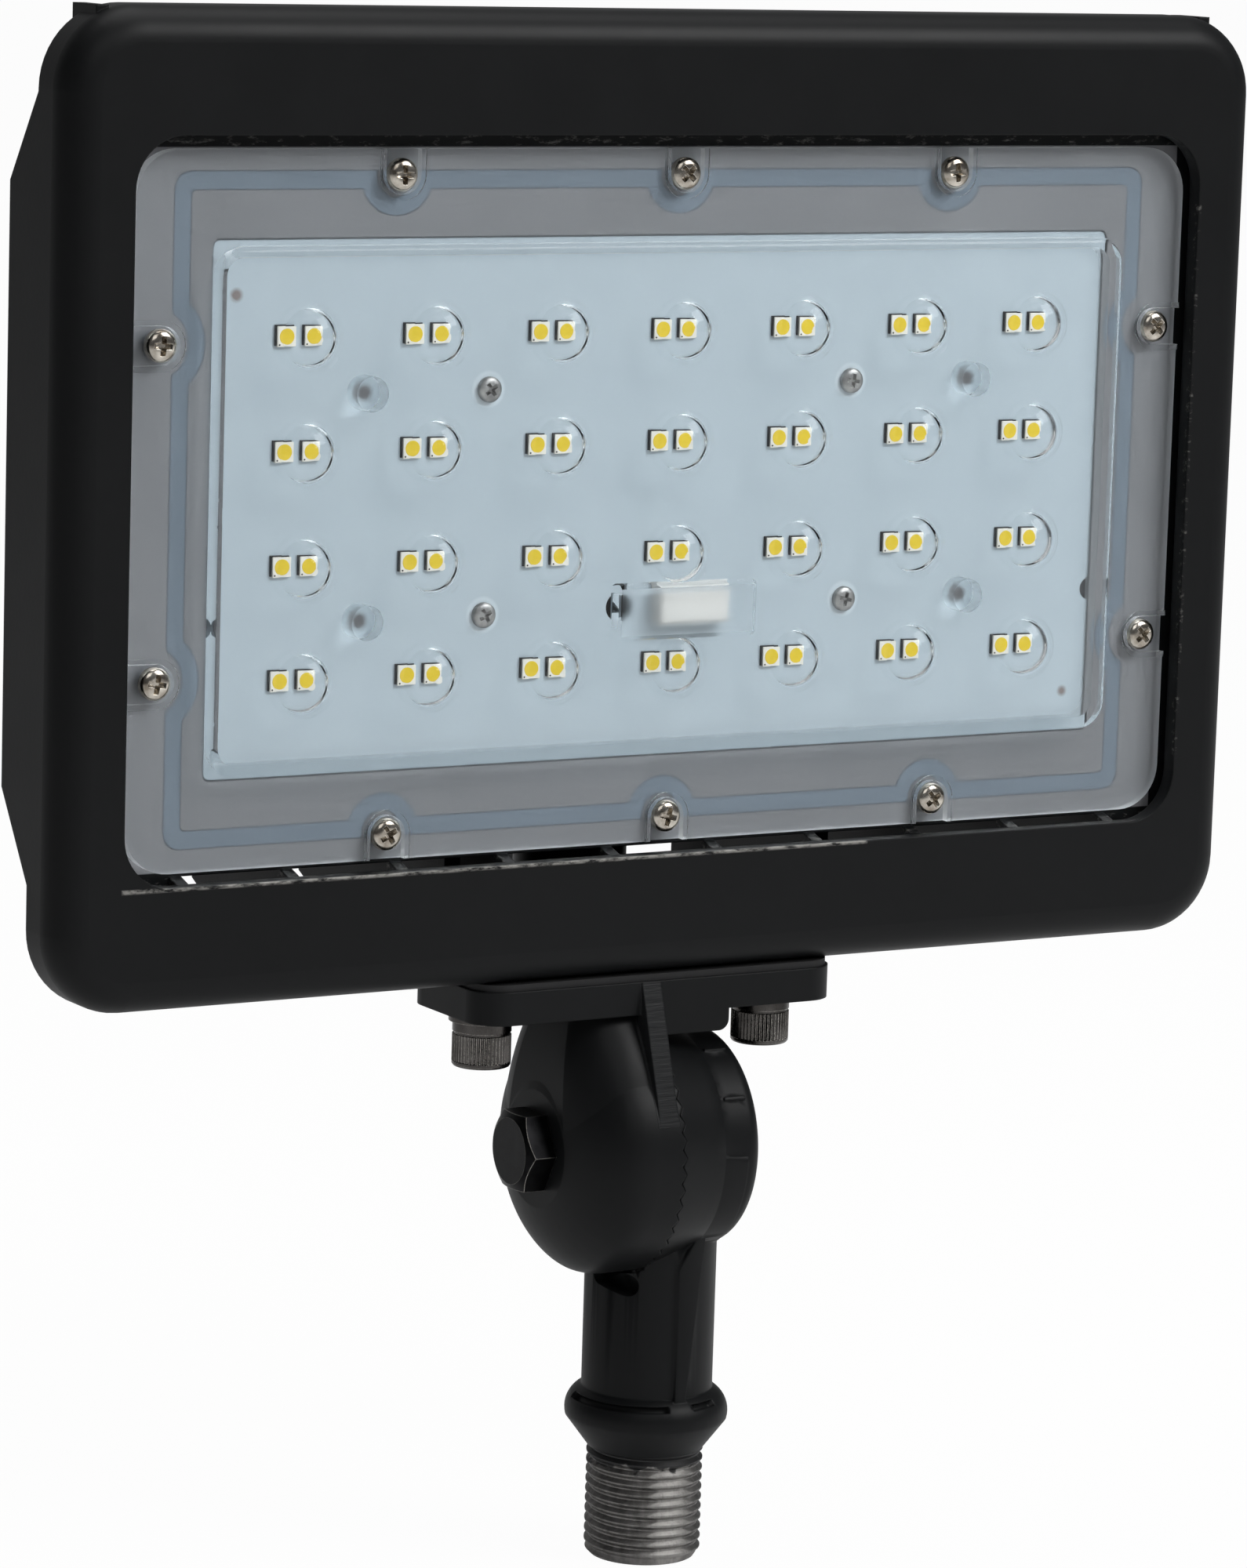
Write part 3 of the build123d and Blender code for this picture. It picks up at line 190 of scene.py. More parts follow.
def makePowderCoat(name, coat, rubs=(), bare=None, toolMarksAndSheen=None):
    # polyester powder coat on a casting: satin black with a faint orange peel, rubbed brighter on its edges
    material, tree, place = newMaterial(name)
    cloud = stretchedNoise(tree, place, 28 * mm, 4.0, 0.6)
    rounded, edge = edgeMask(tree, coat["edge"], 0.995, 0.88)
    peel = stretchedNoise(tree, place, coat["peel"])
    grain = stretchedNoise(tree, place, coat["grain"], 1.0)
    bump = addNode(tree, "Bump", {"Height": peel, "Strength": 0.22, "Distance": 0.05 * mm, "Normal": rounded})
    bump = addNode(tree, "Bump", {"Height": grain, "Strength": 0.18, "Distance": 0.02 * mm, "Normal": bump})
    scratch = stretchedNoise(tree, place, 2.4 * mm, 6.0, 0.7)
    start = 0.72 - coat["edgeWear"]
    spots = addNode(tree, "MapRange", {"Value": scratch, "From Min": start, "From Max": start + 0.08,
                                       "To Max": 0.6})
    rub = addNode(tree, "Math", {"operation": "MULTIPLY", "use_clamp": True, 0: edge, 1: spots})
    streaks = stretchedNoise(tree, place, 1.1 * mm, 5.0, 0.72, (0.35, 1, 1))
    for low, high, amount in rubs:
        zone = boxMask(tree, place, low, high, 0.3 * mm)
        start = 0.62 - 0.28 * amount
        flecks = addNode(tree, "MapRange", {"Value": streaks, "From Min": start, "From Max": start + 0.16,
                                            "To Max": 0.25 + 0.6 * amount})
        patch = addNode(tree, "Math", {"operation": "MULTIPLY", "use_clamp": True, 0: zone, 1: flecks})
        rub = addNode(tree, "Math", {"operation": "MAXIMUM", "use_clamp": True, 0: rub, 1: patch})
    base = addNode(tree, "Mix", {"data_type": "RGBA", 0: cloud, 6: hexColour(coat["colour"]),
                                 7: hexColour(coat["worn"])}, 2)
    if toolMarksAndSheen:
        # fine level tool marks show through the coat in relief, and their lighter tone is a painted highlight
        # on the web's front
        marks = stretchedNoise(tree, place, 0.55 * mm, 2.0, 0.6, (0.08, 0.08, 1))
        zone = boxMask(tree, place, toolMarksAndSheen["low"], toolMarksAndSheen["high"], 0.1 * mm)
        ridges = addNode(tree, "Math", {"operation": "MULTIPLY", "use_clamp": True, 0: marks, 1: zone})
        bump = addNode(tree, "Bump", {"Height": ridges, "Strength": 0.8, "Distance": 0.08 * mm,
                                      "Normal": bump})
        base = addNode(tree, "Mix", {"data_type": "RGBA", 0: ridges, 6: base,
                                     7: hexColour(coat["toolMarksAndSheen"])}, 2)
    colour = addNode(tree, "Mix", {"data_type": "RGBA", 0: rub, 6: base, 7: hexColour(coat["metal"])}, 2)
    rough = addNode(tree, "MapRange", {"Value": cloud, "To Min": coat["roughness"] - 0.05,
                                       "To Max": coat["roughness"] + 0.07})
    metallic = addNode(tree, "Math", {"operation": "MULTIPLY", "use_clamp": True, 0: rub, 1: 0.7})
    surface = addNode(tree, "BsdfPrincipled", {
        "Base Color": colour, "Roughness": rough, "Metallic": metallic, "IOR": 1.5,
        "Specular IOR Level": coat["shine"], "Normal": bump})
    if bare:
        # the seat under the lens is left bare, as cast and lightly machined
        seat = boxMask(tree, place, bare["low"], bare["high"], 0.2 * mm)
        brushed = stretchedNoise(tree, place, 0.5 * mm, 4.0, 0.6, (1, 1, 0.12))
        patches = stretchedNoise(tree, place, 16 * mm, 3.0, 0.55)
        fine = addNode(tree, "Math", {"operation": "MULTIPLY", "use_clamp": True, 0: brushed, 1: 0.4})
        broad = addNode(tree, "Math", {"operation": "MULTIPLY", "use_clamp": True, 0: patches, 1: 0.6})
        tone = addNode(tree, "Math", {"operation": "ADD", "use_clamp": True, 0: fine, 1: broad})
        grey = addNode(tree, "Mix", {"data_type": "RGBA", 0: tone, 6: hexColour(bare["dark"]),
                                     7: hexColour(bare["light"])}, 2)
        lines = addNode(tree, "Bump", {"Height": brushed, "Strength": 0.3, "Distance": 0.03 * mm})
        metal = addNode(tree, "BsdfPrincipled", {"Base Color": grey, "Metallic": 0.35, "Roughness": 0.55,
                                                 "Normal": lines})
        surface = addNode(tree, "MixShader", {0: seat, 1: surface, 2: metal})
    addNode(tree, "OutputMaterial", {"Surface": surface})
    return material


def makeMetal(name, colour, dark, roughness, grainSize, wear, bright, edge, stretch=(1, 1, 1),
              stainSize=2.2 * mm):
    # plated or blackened steel: a fine grain, dirt in the lows and bare edges where it is rubbed
    material, tree, place = newMaterial(name)
    grain = stretchedNoise(tree, place, grainSize, 3.0, 0.6, stretch)
    stain = stretchedNoise(tree, place, stainSize, 5.0)
    nicks = stretchedNoise(tree, place, 0.5 * mm, 4.0, 0.7)
    rounded, rubbed = edgeMask(tree, edge, 0.99, 0.86)
    bump = addNode(tree, "Bump", {"Height": grain, "Strength": 0.25, "Distance": 0.015 * mm,
                                  "Normal": rounded})
    flecks = addNode(tree, "MapRange", {"Value": nicks, "From Min": 0.36, "From Max": 0.52, "To Min": 0.25})
    edges = addNode(tree, "Math", {"operation": "MULTIPLY", "use_clamp": True, 0: rubbed, 1: wear})
    worn = addNode(tree, "Math", {"operation": "MULTIPLY", "use_clamp": True, 0: edges, 1: flecks})
    dirt = addNode(tree, "MapRange", {"Value": stain, "From Min": 0.35, "From Max": 0.65})
    base = addNode(tree, "Mix", {"data_type": "RGBA", 0: dirt, 6: hexColour(dark), 7: hexColour(colour)}, 2)
    finished = addNode(tree, "Mix", {"data_type": "RGBA", 0: worn, 6: base, 7: hexColour(bright)}, 2)
    rough = addNode(tree, "MapRange", {"Value": grain, "To Min": roughness - 0.06,
                                       "To Max": roughness + 0.08})
    surface = addNode(tree, "BsdfPrincipled", {"Base Color": finished, "Metallic": 1.0, "Roughness": rough,
                                               "Normal": bump})
    addNode(tree, "OutputMaterial", {"Surface": surface})
    return material


def makePlastic(name, colour, shade, roughness, grainSize, strength=0.2, spots=()):
    # moulded rubber, nylon or lacquer: slight mottling and a fine moulded grain, with spots of another colour
    material, tree, place = newMaterial(name)
    mottle = stretchedNoise(tree, place, 9 * mm, 4.0)
    grain = stretchedNoise(tree, place, grainSize)
    base = addNode(tree, "Mix", {"data_type": "RGBA", 0: mottle, 6: hexColour(colour), 7: hexColour(shade)}, 2)
    for centre, radius, tint, soft in spots:
        spot = spotMask(tree, place, centre, radius, soft)
        base = addNode(tree, "Mix", {"data_type": "RGBA", 0: spot, 6: base, 7: hexColour(tint)}, 2)
    rough = addNode(tree, "MapRange", {"Value": grain, "To Min": roughness - 0.05, "To Max": roughness + 0.06})
    bump = addNode(tree, "Bump", {"Height": grain, "Strength": strength, "Distance": 0.03 * mm})
    surface = addNode(tree, "BsdfPrincipled", {"Base Color": base, "Roughness": rough, "IOR": 1.5,
                                               "Normal": bump})
    addNode(tree, "OutputMaterial", {"Surface": surface})
    return material


polycarbonate = {
    "tint": "#F4F7F8",
    "shadowTint": "#E8ECEE",
    "flow": 14 * mm,
    "ejectorRadius": 3.0 * mm,
    "ejectorMarks": ((-86, 0), (-86, -37.5), (86, -37.5), (0, -37), (-85.4, 38.2), (86, 8)),
}


def makePolycarbonate(name, lens, ior, roughness, coat):
    # moulded clear polycarbonate, glassy or frosted, with the faint rings of the ejector pins
    material, tree, place = newMaterial(name)
    haze = stretchedNoise(tree, place, 40 * mm, 3.0)
    flow = stretchedNoise(tree, place, lens["flow"])
    rough = addNode(tree, "MapRange", {"Value": haze, "From Min": 0.3, "From Max": 0.7,
                                       "To Min": roughness * 0.85, "To Max": roughness * 1.1})
    bump = addNode(tree, "Bump", {"Height": flow, "Strength": 0.08, "Distance": 0.2 * mm})
    for x, z in lens["ejectorMarks"]:
        disc = spotMask(tree, place, onHead(x * mm, 0, z * mm), lens["ejectorRadius"], 0.4 * mm)
        bump = addNode(tree, "Bump", {"Height": disc, "Strength": 0.5, "Distance": 0.08 * mm, "Normal": bump})
    plastic = addNode(tree, "BsdfPrincipled", {
        "Base Color": hexColour(lens["tint"]), "Roughness": rough, "IOR": ior, "Transmission Weight": 1.0,
        "Coat Weight": coat, "Coat Roughness": 0.08, "Coat IOR": 1.5, "Normal": bump})
    # lamps shine straight through, so that the board behind is lit
    clear = addNode(tree, "BsdfTransparent", {"Color": hexColour(lens["shadowTint"])})
    shadow = addNode(tree, "LightPath", {}, "Is Shadow Ray")
    surface = addNode(tree, "MixShader", {0: shadow, 1: plastic, 2: clear})
    addNode(tree, "OutputMaterial", {"Surface": surface})
    return material


threadFinish = {
    "colour": "#8F8D8B",
    "dark": "#6B6967",
    # the bright colour and the stripe keys below give a painted highlight down the thread's front: where it
    # runs, and the reach at which it is full and where it ends
    "bright": "#A6A4A1",
    "paint": "#161617",
    "paintTo": -3.6 * mm,
    "paintedHighlight": (0.1 * mm, -10.34 * mm, 0),
    "paintedHighlightFull": 3.0 * mm,
    "paintedHighlightEnd": 3.7 * mm,
    "middle": 10.0 * mm,
    "flare": 3.0,
}


def makeThreadMetal(name, finish):
    # bare grey casting with a painted highlight, a bright stripe down its front, and the arm's coat run over
    # its first turns
    material, tree, place = newMaterial(name)
    stain = stretchedNoise(tree, place, 1.6 * mm, 5.0, 0.65, (1, 1, 0.6))
    scrape = stretchedNoise(tree, place, 0.7 * mm, 4.0, 0.7, (1, 1, 0.25))
    # the painted highlight runs down the front as a stripe, and is wider on the crests than in the roots
    flat = addNode(tree, "VectorMath", {"operation": "MULTIPLY", 0: place, 1: (1, 1, 0)})
    reach = addNode(tree, "VectorMath", {"operation": "LENGTH", 0: flat}, "Value")
    aside = addNode(tree, "VectorMath", {"operation": "DISTANCE", 0: flat, 1: finish["paintedHighlight"]}, "Value")
    widen = addNode(tree, "Math", {"operation": "MULTIPLY_ADD", 0: reach, 1: -finish["flare"],
                                   2: finish["flare"] * finish["middle"]})
    spread = addNode(tree, "Math", {"operation": "ADD", 0: aside, 1: widen})
    band = addNode(tree, "MapRange", {"Value": spread, "From Min": finish["paintedHighlightEnd"],
                                      "From Max": finish["paintedHighlightFull"]})
    # streaky noise breaks up the painted highlight
    highlightBreakup = addNode(tree, "MapRange", {"Value": scrape, "From Min": 0.30, "From Max": 0.55, "To Min": 0.35})
    paintedHighlight = addNode(tree, "Math", {"operation": "MULTIPLY", "use_clamp": True, 0: band, 1: highlightBreakup})
    dirt = addNode(tree, "MapRange", {"Value": stain, "From Min": 0.34, "From Max": 0.66})
    base = addNode(tree, "Mix", {"data_type": "RGBA", 0: dirt, 6: hexColour(finish["dark"]),
                                 7: hexColour(finish["colour"])}, 2)
    metal = addNode(tree, "Mix", {"data_type": "RGBA", 0: paintedHighlight, 6: base, 7: hexColour(finish["bright"])}, 2)
    # the coat ends in a ragged edge
    wander = stretchedNoise(tree, place, 3 * mm, 3.0)
    waves = addNode(tree, "MapRange", {"Value": wander, "From Min": 0.3, "From Max": 0.7})
    ragged = addNode(tree, "Math", {"operation": "MULTIPLY", "use_clamp": True, 0: waves, 1: 2.4 * mm})
    height = addNode(tree, "SeparateXYZ", {0: place}, "Z")
    lift = addNode(tree, "Math", {"operation": "SUBTRACT", 0: height, 1: ragged})
    paint = addNode(tree, "MapRange", {"Value": lift, "From Min": finish["paintTo"] - 0.3 * mm,
                                       "From Max": finish["paintTo"] + 0.1 * mm})
    colour = addNode(tree, "Mix", {"data_type": "RGBA", 0: paint, 6: metal, 7: hexColour(finish["paint"])}, 2)
    bare = addNode(tree, "Math", {"operation": "SUBTRACT", "use_clamp": True, 0: 1.0, 1: paint})
    rough = addNode(tree, "MapRange", {"Value": scrape, "To Min": 0.40, "To Max": 0.60})
    bump = addNode(tree, "Bump", {"Height": scrape, "Strength": 0.4, "Distance": 0.03 * mm})
    surface = addNode(tree, "BsdfPrincipled", {"Base Color": colour, "Roughness": rough, "Metallic": bare,
                                               "Normal": bump})
    addNode(tree, "OutputMaterial", {"Surface": surface})
    return material


def makePhosphor(name):
    # silicone with phosphor in it: warm yellow and finely grained
    material, tree, place = newMaterial(name)
    grain = stretchedNoise(tree, place, 0.12 * mm, 3.0)
    colour = addNode(tree, "Mix", {"data_type": "RGBA", 0: grain, 6: hexColour("#E0BC22"),
                                   7: hexColour("#F2D43E")}, 2)
    bump = addNode(tree, "Bump", {"Height": grain, "Strength": 0.2, "Distance": 0.02 * mm})
    surface = addNode(tree, "BsdfPrincipled", {"Base Color": colour, "Roughness": 0.45, "Normal": bump})
    addNode(tree, "OutputMaterial", {"Surface": surface})
    return material


print("materials")
# Round marks on the board: a centre, a radius, a colour and how soft the edge is. Two bare dots in the
# corners, then the feet of the four lens posts, and the light ring round each of the four screws.
boardSpots = [
    (onHead(-84.4 * mm, 0, 35.9 * mm), 1.0 * mm, "#857A78", 0.8 * mm),
    (onHead(84.0 * mm, 0, -38.0 * mm), 0.8 * mm, "#857A78", 0.8 * mm),
]
for side in (-1, 1):
    for level in (-19.3, 19.3):
        boardSpots.append((onHead(side * 60.4 * mm, 0, level * mm), 1.3 * mm, "#6E6C6E", 1.0 * mm))
        boardSpots.append((onHead(side * 36.3 * mm, 0, level * mm), 3.1 * mm, "#CBD4DA", 0.5 * mm))

housingCoat = makePowderCoat("powder_coat_on_aluminium", powderCoat, housingRubs, bareSeat)
armCoat = makePowderCoat("powder_coat_on_arms", dict(powderCoat, peel=1.3 * mm, roughness=0.43, edgeWear=0.0),
                         toolMarksAndSheen=webFront)
nickel = makeMetal("nickel_plated_steel", "#D9D3C8", "#8F867A", roughness=0.17, grainSize=0.25 * mm, wear=0.6,
                   bright="#F4F1EA", edge=0.12 * mm)
screwGrey = makeMetal("zinc_screw_grey", "#B9B7B5", "#8C8A89", roughness=0.42, grainSize=0.25 * mm, wear=0.5,
                      bright="#C9C7C2", edge=0.12 * mm)
blackOxide = makeMetal("worn_black_oxide_steel", "#5F5C5A", "#383634", roughness=0.25, grainSize=0.2 * mm,
                       wear=1.0, bright="#F0ECE4", edge=0.10 * mm, stretch=(1, 1, 0.3), stainSize=7 * mm)
boltBlack = makeMetal("black_zinc_bolt", "#1C1C1D", "#121213", roughness=0.36, grainSize=0.3 * mm, wear=1.0,
                      bright="#D5D1CA", edge=0.22 * mm)
threadMetal = makeThreadMetal("bare_threaded_end", threadFinish)
silicone = makePlastic("grey_silicone", "#7B8692", "#6D7884", roughness=0.55, grainSize=0.4 * mm)
rubber = makePlastic("black_rubber", "#1A1A1B", "#141415", roughness=0.7, grainSize=0.3 * mm)
solderMask = makePlastic("pale_solder_mask", "#BCC7CE", "#B5C0C8", roughness=0.36, grainSize=0.5 * mm,
                         strength=0.08, spots=boardSpots)
whiteNylon = makePlastic("white_nylon", "#E4E2DE", "#D6D2CE", roughness=0.45, grainSize=0.3 * mm)
ivory = makePlastic("ivory_package", "#F1EDE4", "#E6E0D6", roughness=0.4, grainSize=0.15 * mm, strength=0.1)
darkBandAndDot = makePlastic("package_shadow_side", "#1D1C1D", "#262526", roughness=0.5, grainSize=0.2 * mm)
phosphor = makePhosphor("yellow_phosphor")
driverPaint = makePlastic("driver_can_paint", "#B9BABC", "#AEB0B2", roughness=0.4, grainSize=0.3 * mm)
lensClear = makePolycarbonate("clear_polycarbonate", polycarbonate, ior=1.13, roughness=0.03, coat=0.25)
lensFrosted = makePolycarbonate("frosted_polycarbonate", polycarbonate, ior=1.30, roughness=0.36, coat=0.1)
lensHazy = makePolycarbonate("hazy_polycarbonate", polycarbonate, ior=1.18, roughness=0.50, coat=0.4)

nodeFinish = {
    "housing": housingCoat,
    "driver_cover": housingCoat,
    "driver_cover_gasket": rubber,
    "driver_cover_screws": nickel,
    "led_driver": driverPaint,
    "driver_screws": nickel,
    "ground_screw": nickel,
    "wire_grommet": rubber,
    "led_board": solderMask,
    "led_packages": ivory,
    "board_connector": whiteNylon,
    "board_screws": screwGrey,
    "optic_lens": lensClear,
    "lens_gasket": silicone,
    "lens_screws": nickel,
    "upper_arm": armCoat,
    "flange_gasket": rubber,
    "flange_screws": blackOxide,
    "flange_spring_washers": blackOxide,
    "flange_flat_washers": blackOxide,
    "lower_arm": armCoat,
    "knuckle_seal": rubber,
    "pivot_bolt": boltBlack,
}
for nodeName, finish in nodeFinish.items():
    mesh = nodes[nodeName].data
    mesh.materials.clear()
    mesh.materials.append(finish)


# Pieces

def finishPiece(name, bm, finishes, body, stands, sharpAngle, flat=None):
    # a piece from mesh code, with its materials, its body and the nodes that it stands for;
    # its normals follow the larger faces, and the faces that flat picks out keep their own
    mesh = bpy.data.meshes.new(name)
    bmesh.ops.remove_doubles(bm, verts=bm.verts, dist=0.001 * mm)
    bm.normal_update()
    bm.edges.index_update()
    creases = [e.index for e in bm.edges if flat and len({flat(f) for f in e.link_faces}) > 1]
    bm.to_mesh(mesh)
    bm.free()
    for finish in finishes:
        mesh.materials.append(finish)
    mesh.shade_smooth()
    mesh.set_sharp_from_angle(angle=radians(sharpAngle))
    for index in creases:
        mesh.edges[index].use_edge_sharp = True
    piece = bpy.data.objects.new(name, mesh)
    scene.collection.objects.link(piece)
    normals = piece.modifiers.new("normals", "WEIGHTED_NORMAL")
    normals.weight = 100
    normals.keep_sharp = True
    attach(piece, body)
    if stands:
        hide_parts(*stands)


def copyNode(nodeName):
    # a node's triangles merged to one surface
    bm = bmesh.new()
    bm.from_mesh(nodes[nodeName].data)
    bmesh.ops.remove_doubles(bm, verts=bm.verts, dist=0.002 * mm)
    return bm


def turned(bm, rings, segments):
    # a closed turned form on Z: rings are (height, radius), where the radius may be a function of the angle
    created = bmesh.ops.create_circle(bm, segments=segments, radius=1.0, cap_ends=False)
    loop = created["verts"]
    start = loop[:]
    for ringNumber, (height, radius) in enumerate(rings):
        if ringNumber:
            edges = list({e for v in loop for e in v.link_edges if e.other_vert(v) in loop})
            grown = bmesh.ops.extrude_edge_only(bm, edges=edges)
            loop = [v for v in grown["geom"] if isinstance(v, bmesh.types.BMVert)]
        for vertex in loop:
            flat = Vector((vertex.co.x, vertex.co.y, 0)).normalized()
            reach = radius(Vector((1, 0)).angle_signed(flat.xy, 0.0)) if callable(radius) else radius
            vertex.co = flat * reach + Vector((0, 0, height))
    bmesh.ops.contextual_create(bm, geom=start)
    bmesh.ops.contextual_create(bm, geom=loop)
    bmesh.ops.recalc_face_normals(bm, faces=bm.faces)


def toMesh(name, bm):
    # a plain mesh from mesh code, for later use
    mesh = bpy.data.meshes.new(name)
    bm.to_mesh(mesh)
    bm.free()
    return mesh


def copiesAt(bm, mesh, placements):
    # copies of a mesh, each moved by its own matrix
    for matrix in placements:
        count = len(bm.verts)
        bm.from_mesh(mesh)
        bm.verts.ensure_lookup_table()
        bmesh.ops.transform(bm, matrix=matrix, verts=bm.verts[count:])


# Shares of the head's radius, but for the cross's depth, a share of the head's height, and the cross's foot,
# a share of its top
screwForm = {"segments": 48, "crossWidth": 0.20, "crossReach": 0.66, "crossFoot": 0.45, "crossDepth": 0.62}


def screwMesh(radius, height, shank, length, form):
    # a pan head screw on Z with a tapered cross recess
    bm = bmesh.new()
    crown = []
    for step in range(7):
        angle = radians(step * 15)
        crown.append((height * (0.45 + 0.55 * sin(angle)), radius * (0.42 + 0.58 * cos(angle))))
    rings = [(-length, shank * 0.6), (-length + shank * 0.4, shank), (0, shank), (0, radius * 0.97),
             (height * 0.08, radius)] + crown
    turned(bm, rings, form["segments"])
    head = toMesh("head", bm)
    # the cutter: a cross drawn as twelve corners, narrower at its foot
    bm = bmesh.new()
    wide = radius * form["crossWidth"]
    far = radius * form["crossReach"]
    corners = []
    for quarter in range(4):
        turn = Matrix.Rotation(quarter * pi / 2, 4, "Z")
        corners += [turn @ Vector(c) for c in ((wide, wide, 0), (wide * 0.9, far, 0), (-wide * 0.9, far, 0))]
    face = bm.faces.new([bm.verts.new(c + Vector((0, 0, height + 0.2 * mm))) for c in corners])
    foot = bmesh.ops.extrude_face_region(bm, geom=[face])
    for vertex in foot["geom"]:
        if isinstance(vertex, bmesh.types.BMVert):
            vertex.co = Vector((vertex.co.x * form["crossFoot"], vertex.co.y * form["crossFoot"],
                                height * (1 - form["crossDepth"])))
    bmesh.ops.recalc_face_normals(bm, faces=bm.faces)
    headObject = bpy.data.objects.new("head", head)
    cutterObject = bpy.data.objects.new("cutter", toMesh("cutter", bm))
    scene.collection.objects.link(headObject)
    scene.collection.objects.link(cutterObject)
    cut = headObject.modifiers.new("cross", "BOOLEAN")
    cut.operation = "DIFFERENCE"
    cut.solver = "EXACT"
    cut.object = cutterObject
    shaped = bpy.data.meshes.new_from_object(headObject.evaluated_get(bpy.context.evaluated_depsgraph_get()))
    bpy.data.objects.remove(headObject)
    bpy.data.objects.remove(cutterObject)
    return shaped


def nodePlaces(nodeName):
    # the lowest and highest corners of each solid of a node, in order
    bm = copyNode(nodeName)
    left = set(bm.verts)
    found = []
    while left:
        stack = [left.pop()]
        island = []
        while stack:
            vertex = stack.pop()
            island.append(vertex.co.copy())
            for edge in vertex.link_edges:
                other = edge.other_vert(vertex)
                if other in left:
                    left.remove(other)
                    stack.append(other)
        low = Vector([min(c[i] for c in island) for i in range(3)])
        high = Vector([max(c[i] for c in island) for i in range(3)])
        found.append((low, high))
    bm.free()
    found.sort(key=lambda box: (round(box[0].z, 4), round(box[0].x, 4)))
    return found


# Cross recess screws: the way the head faces along Y, its height, the shank's radius and the finish
crossScrews = {
    "lens_screws": (-1, 2.0 * mm, 1.5 * mm, nickel),
    "driver_cover_screws": (1, 2.4 * mm, 2.0 * mm, nickel),
    "board_screws": (-1, 1.2 * mm, 1.5 * mm, screwGrey),
}


def makeScrews(nodeName, outward, headHeight, shank, finish):
    # pan head screws where a node has them, each turned to an angle of its own
    places = nodePlaces(nodeName)
    low, high = places[0]
    length = (high.y - low.y) - headHeight
    mesh = screwMesh((high.x - low.x) / 2, headHeight, shank, length, screwForm)
    matrices = []
    for number, (low, high) in enumerate(places):
        seat = low.y + headHeight if outward < 0 else high.y - headHeight
        centre = Vector(((low.x + high.x) / 2, seat, (low.z + high.z) / 2))
        facing = Matrix.Rotation(radians(-90 * outward), 4, "X")
        spin = Matrix.Rotation(radians(31 + 47 * number), 4, "Z")
        matrices.append(Matrix.Translation(centre) @ facing @ spin)
    bm = bmesh.new()
    copiesAt(bm, mesh, matrices)
    finishPiece(nodeName + "_crossed", bm, [finish], "head", [nodeName], 25)


package = {
    "columns": 7,
    "rows": 4,
    "pair": 5.2 * mm,
    "side": 3.5 * mm,
    "bevel": 0.16 * mm,
    "discRadius": 1.42 * mm,
    "discProud": 0.03 * mm,
    "darkBandShift": (-0.30 * mm, 0.22 * mm),
    "darkBandHeight": 0.38 * mm,
    "dotRadius": 0.16 * mm,
    "dotShift": 1.365 * mm,
}
columnPitch = (packageHigh.x - packageLow.x - package["pair"] - package["side"]) / (package["columns"] - 1)
rowPitch = (packageHigh.z - packageLow.z - package["side"]) / (package["rows"] - 1)


def makePackages(form):
    # surface mount packages in pairs: an ivory body with a disc of phosphor, on a dark block set off to the
    # left and up, so that a dark band shows along those two edges
    bm = bmesh.new()
    packageFront = packageLow.y
    half = form["side"] / 2

    def addBlock(x, z, front, bevel, slotNumber):
        made = bmesh.ops.create_cube(bm, size=1.0)
        scale = Matrix.Diagonal((form["side"], boardFront - front, form["side"], 1))
        place = Matrix.Translation((x, (front + boardFront) / 2, z))
        bmesh.ops.transform(bm, matrix=place @ scale, verts=made["verts"])
        faces = {f for v in made["verts"] for f in v.link_faces}
        for face in faces:
            face.material_index = slotNumber
        if bevel:
            edges = list({e for f in faces for e in f.edges})
            bmesh.ops.bevel(bm, geom=edges, offset=bevel, segments=2, profile=0.5, affect="EDGES", material=-1)

    def addDisc(x, z, radius, slotNumber):
        place = Matrix.Translation((x, packageFront, z)) @ Matrix.Rotation(radians(90), 4, "X")
        made = bmesh.ops.create_cone(bm, cap_ends=True, segments=24, radius1=radius, radius2=radius * 0.96,
                                     depth=2 * form["discProud"], matrix=place)
        for face in {f for v in made["verts"] for f in v.link_faces}:
            face.material_index = slotNumber

    for column in range(form["columns"]):
        for row in range(form["rows"]):
            for side in (-1, 1):
                x = packageLow.x + half + form["pair"] / 2 + column * columnPitch + side * form["pair"] / 2
                z = packageLow.z + half + row * rowPitch
                shiftX, shiftZ = form["darkBandShift"]
                # the dark block behind each package, set off to the left and up so that it shows as a dark
                # band along those edges
                addBlock(x + shiftX, z + shiftZ, boardFront - form["darkBandHeight"], 0, 2)
                addBlock(x, z, packageFront, form["bevel"], 0)
                addDisc(x, z, form["discRadius"], 1)
                addDisc(x - form["dotShift"], z - form["dotShift"], form["dotRadius"], 2)
    finishPiece("led_packages_dressed", bm, [ivory, phosphor, darkBandAndDot], "head", ["led_packages"],
                35)


knurl = {
    "teeth": 46,
    "depth": 0.30 * mm,
    "plain": 0.9 * mm,
    "segmentsPerTooth": 4,
    "rim": 0.55 * mm,
    "key": 2.5 * mm,
    "keyDepth": 3.0 * mm,
    "shank": 3.0 * mm,
    "length": 16.0 * mm,
}


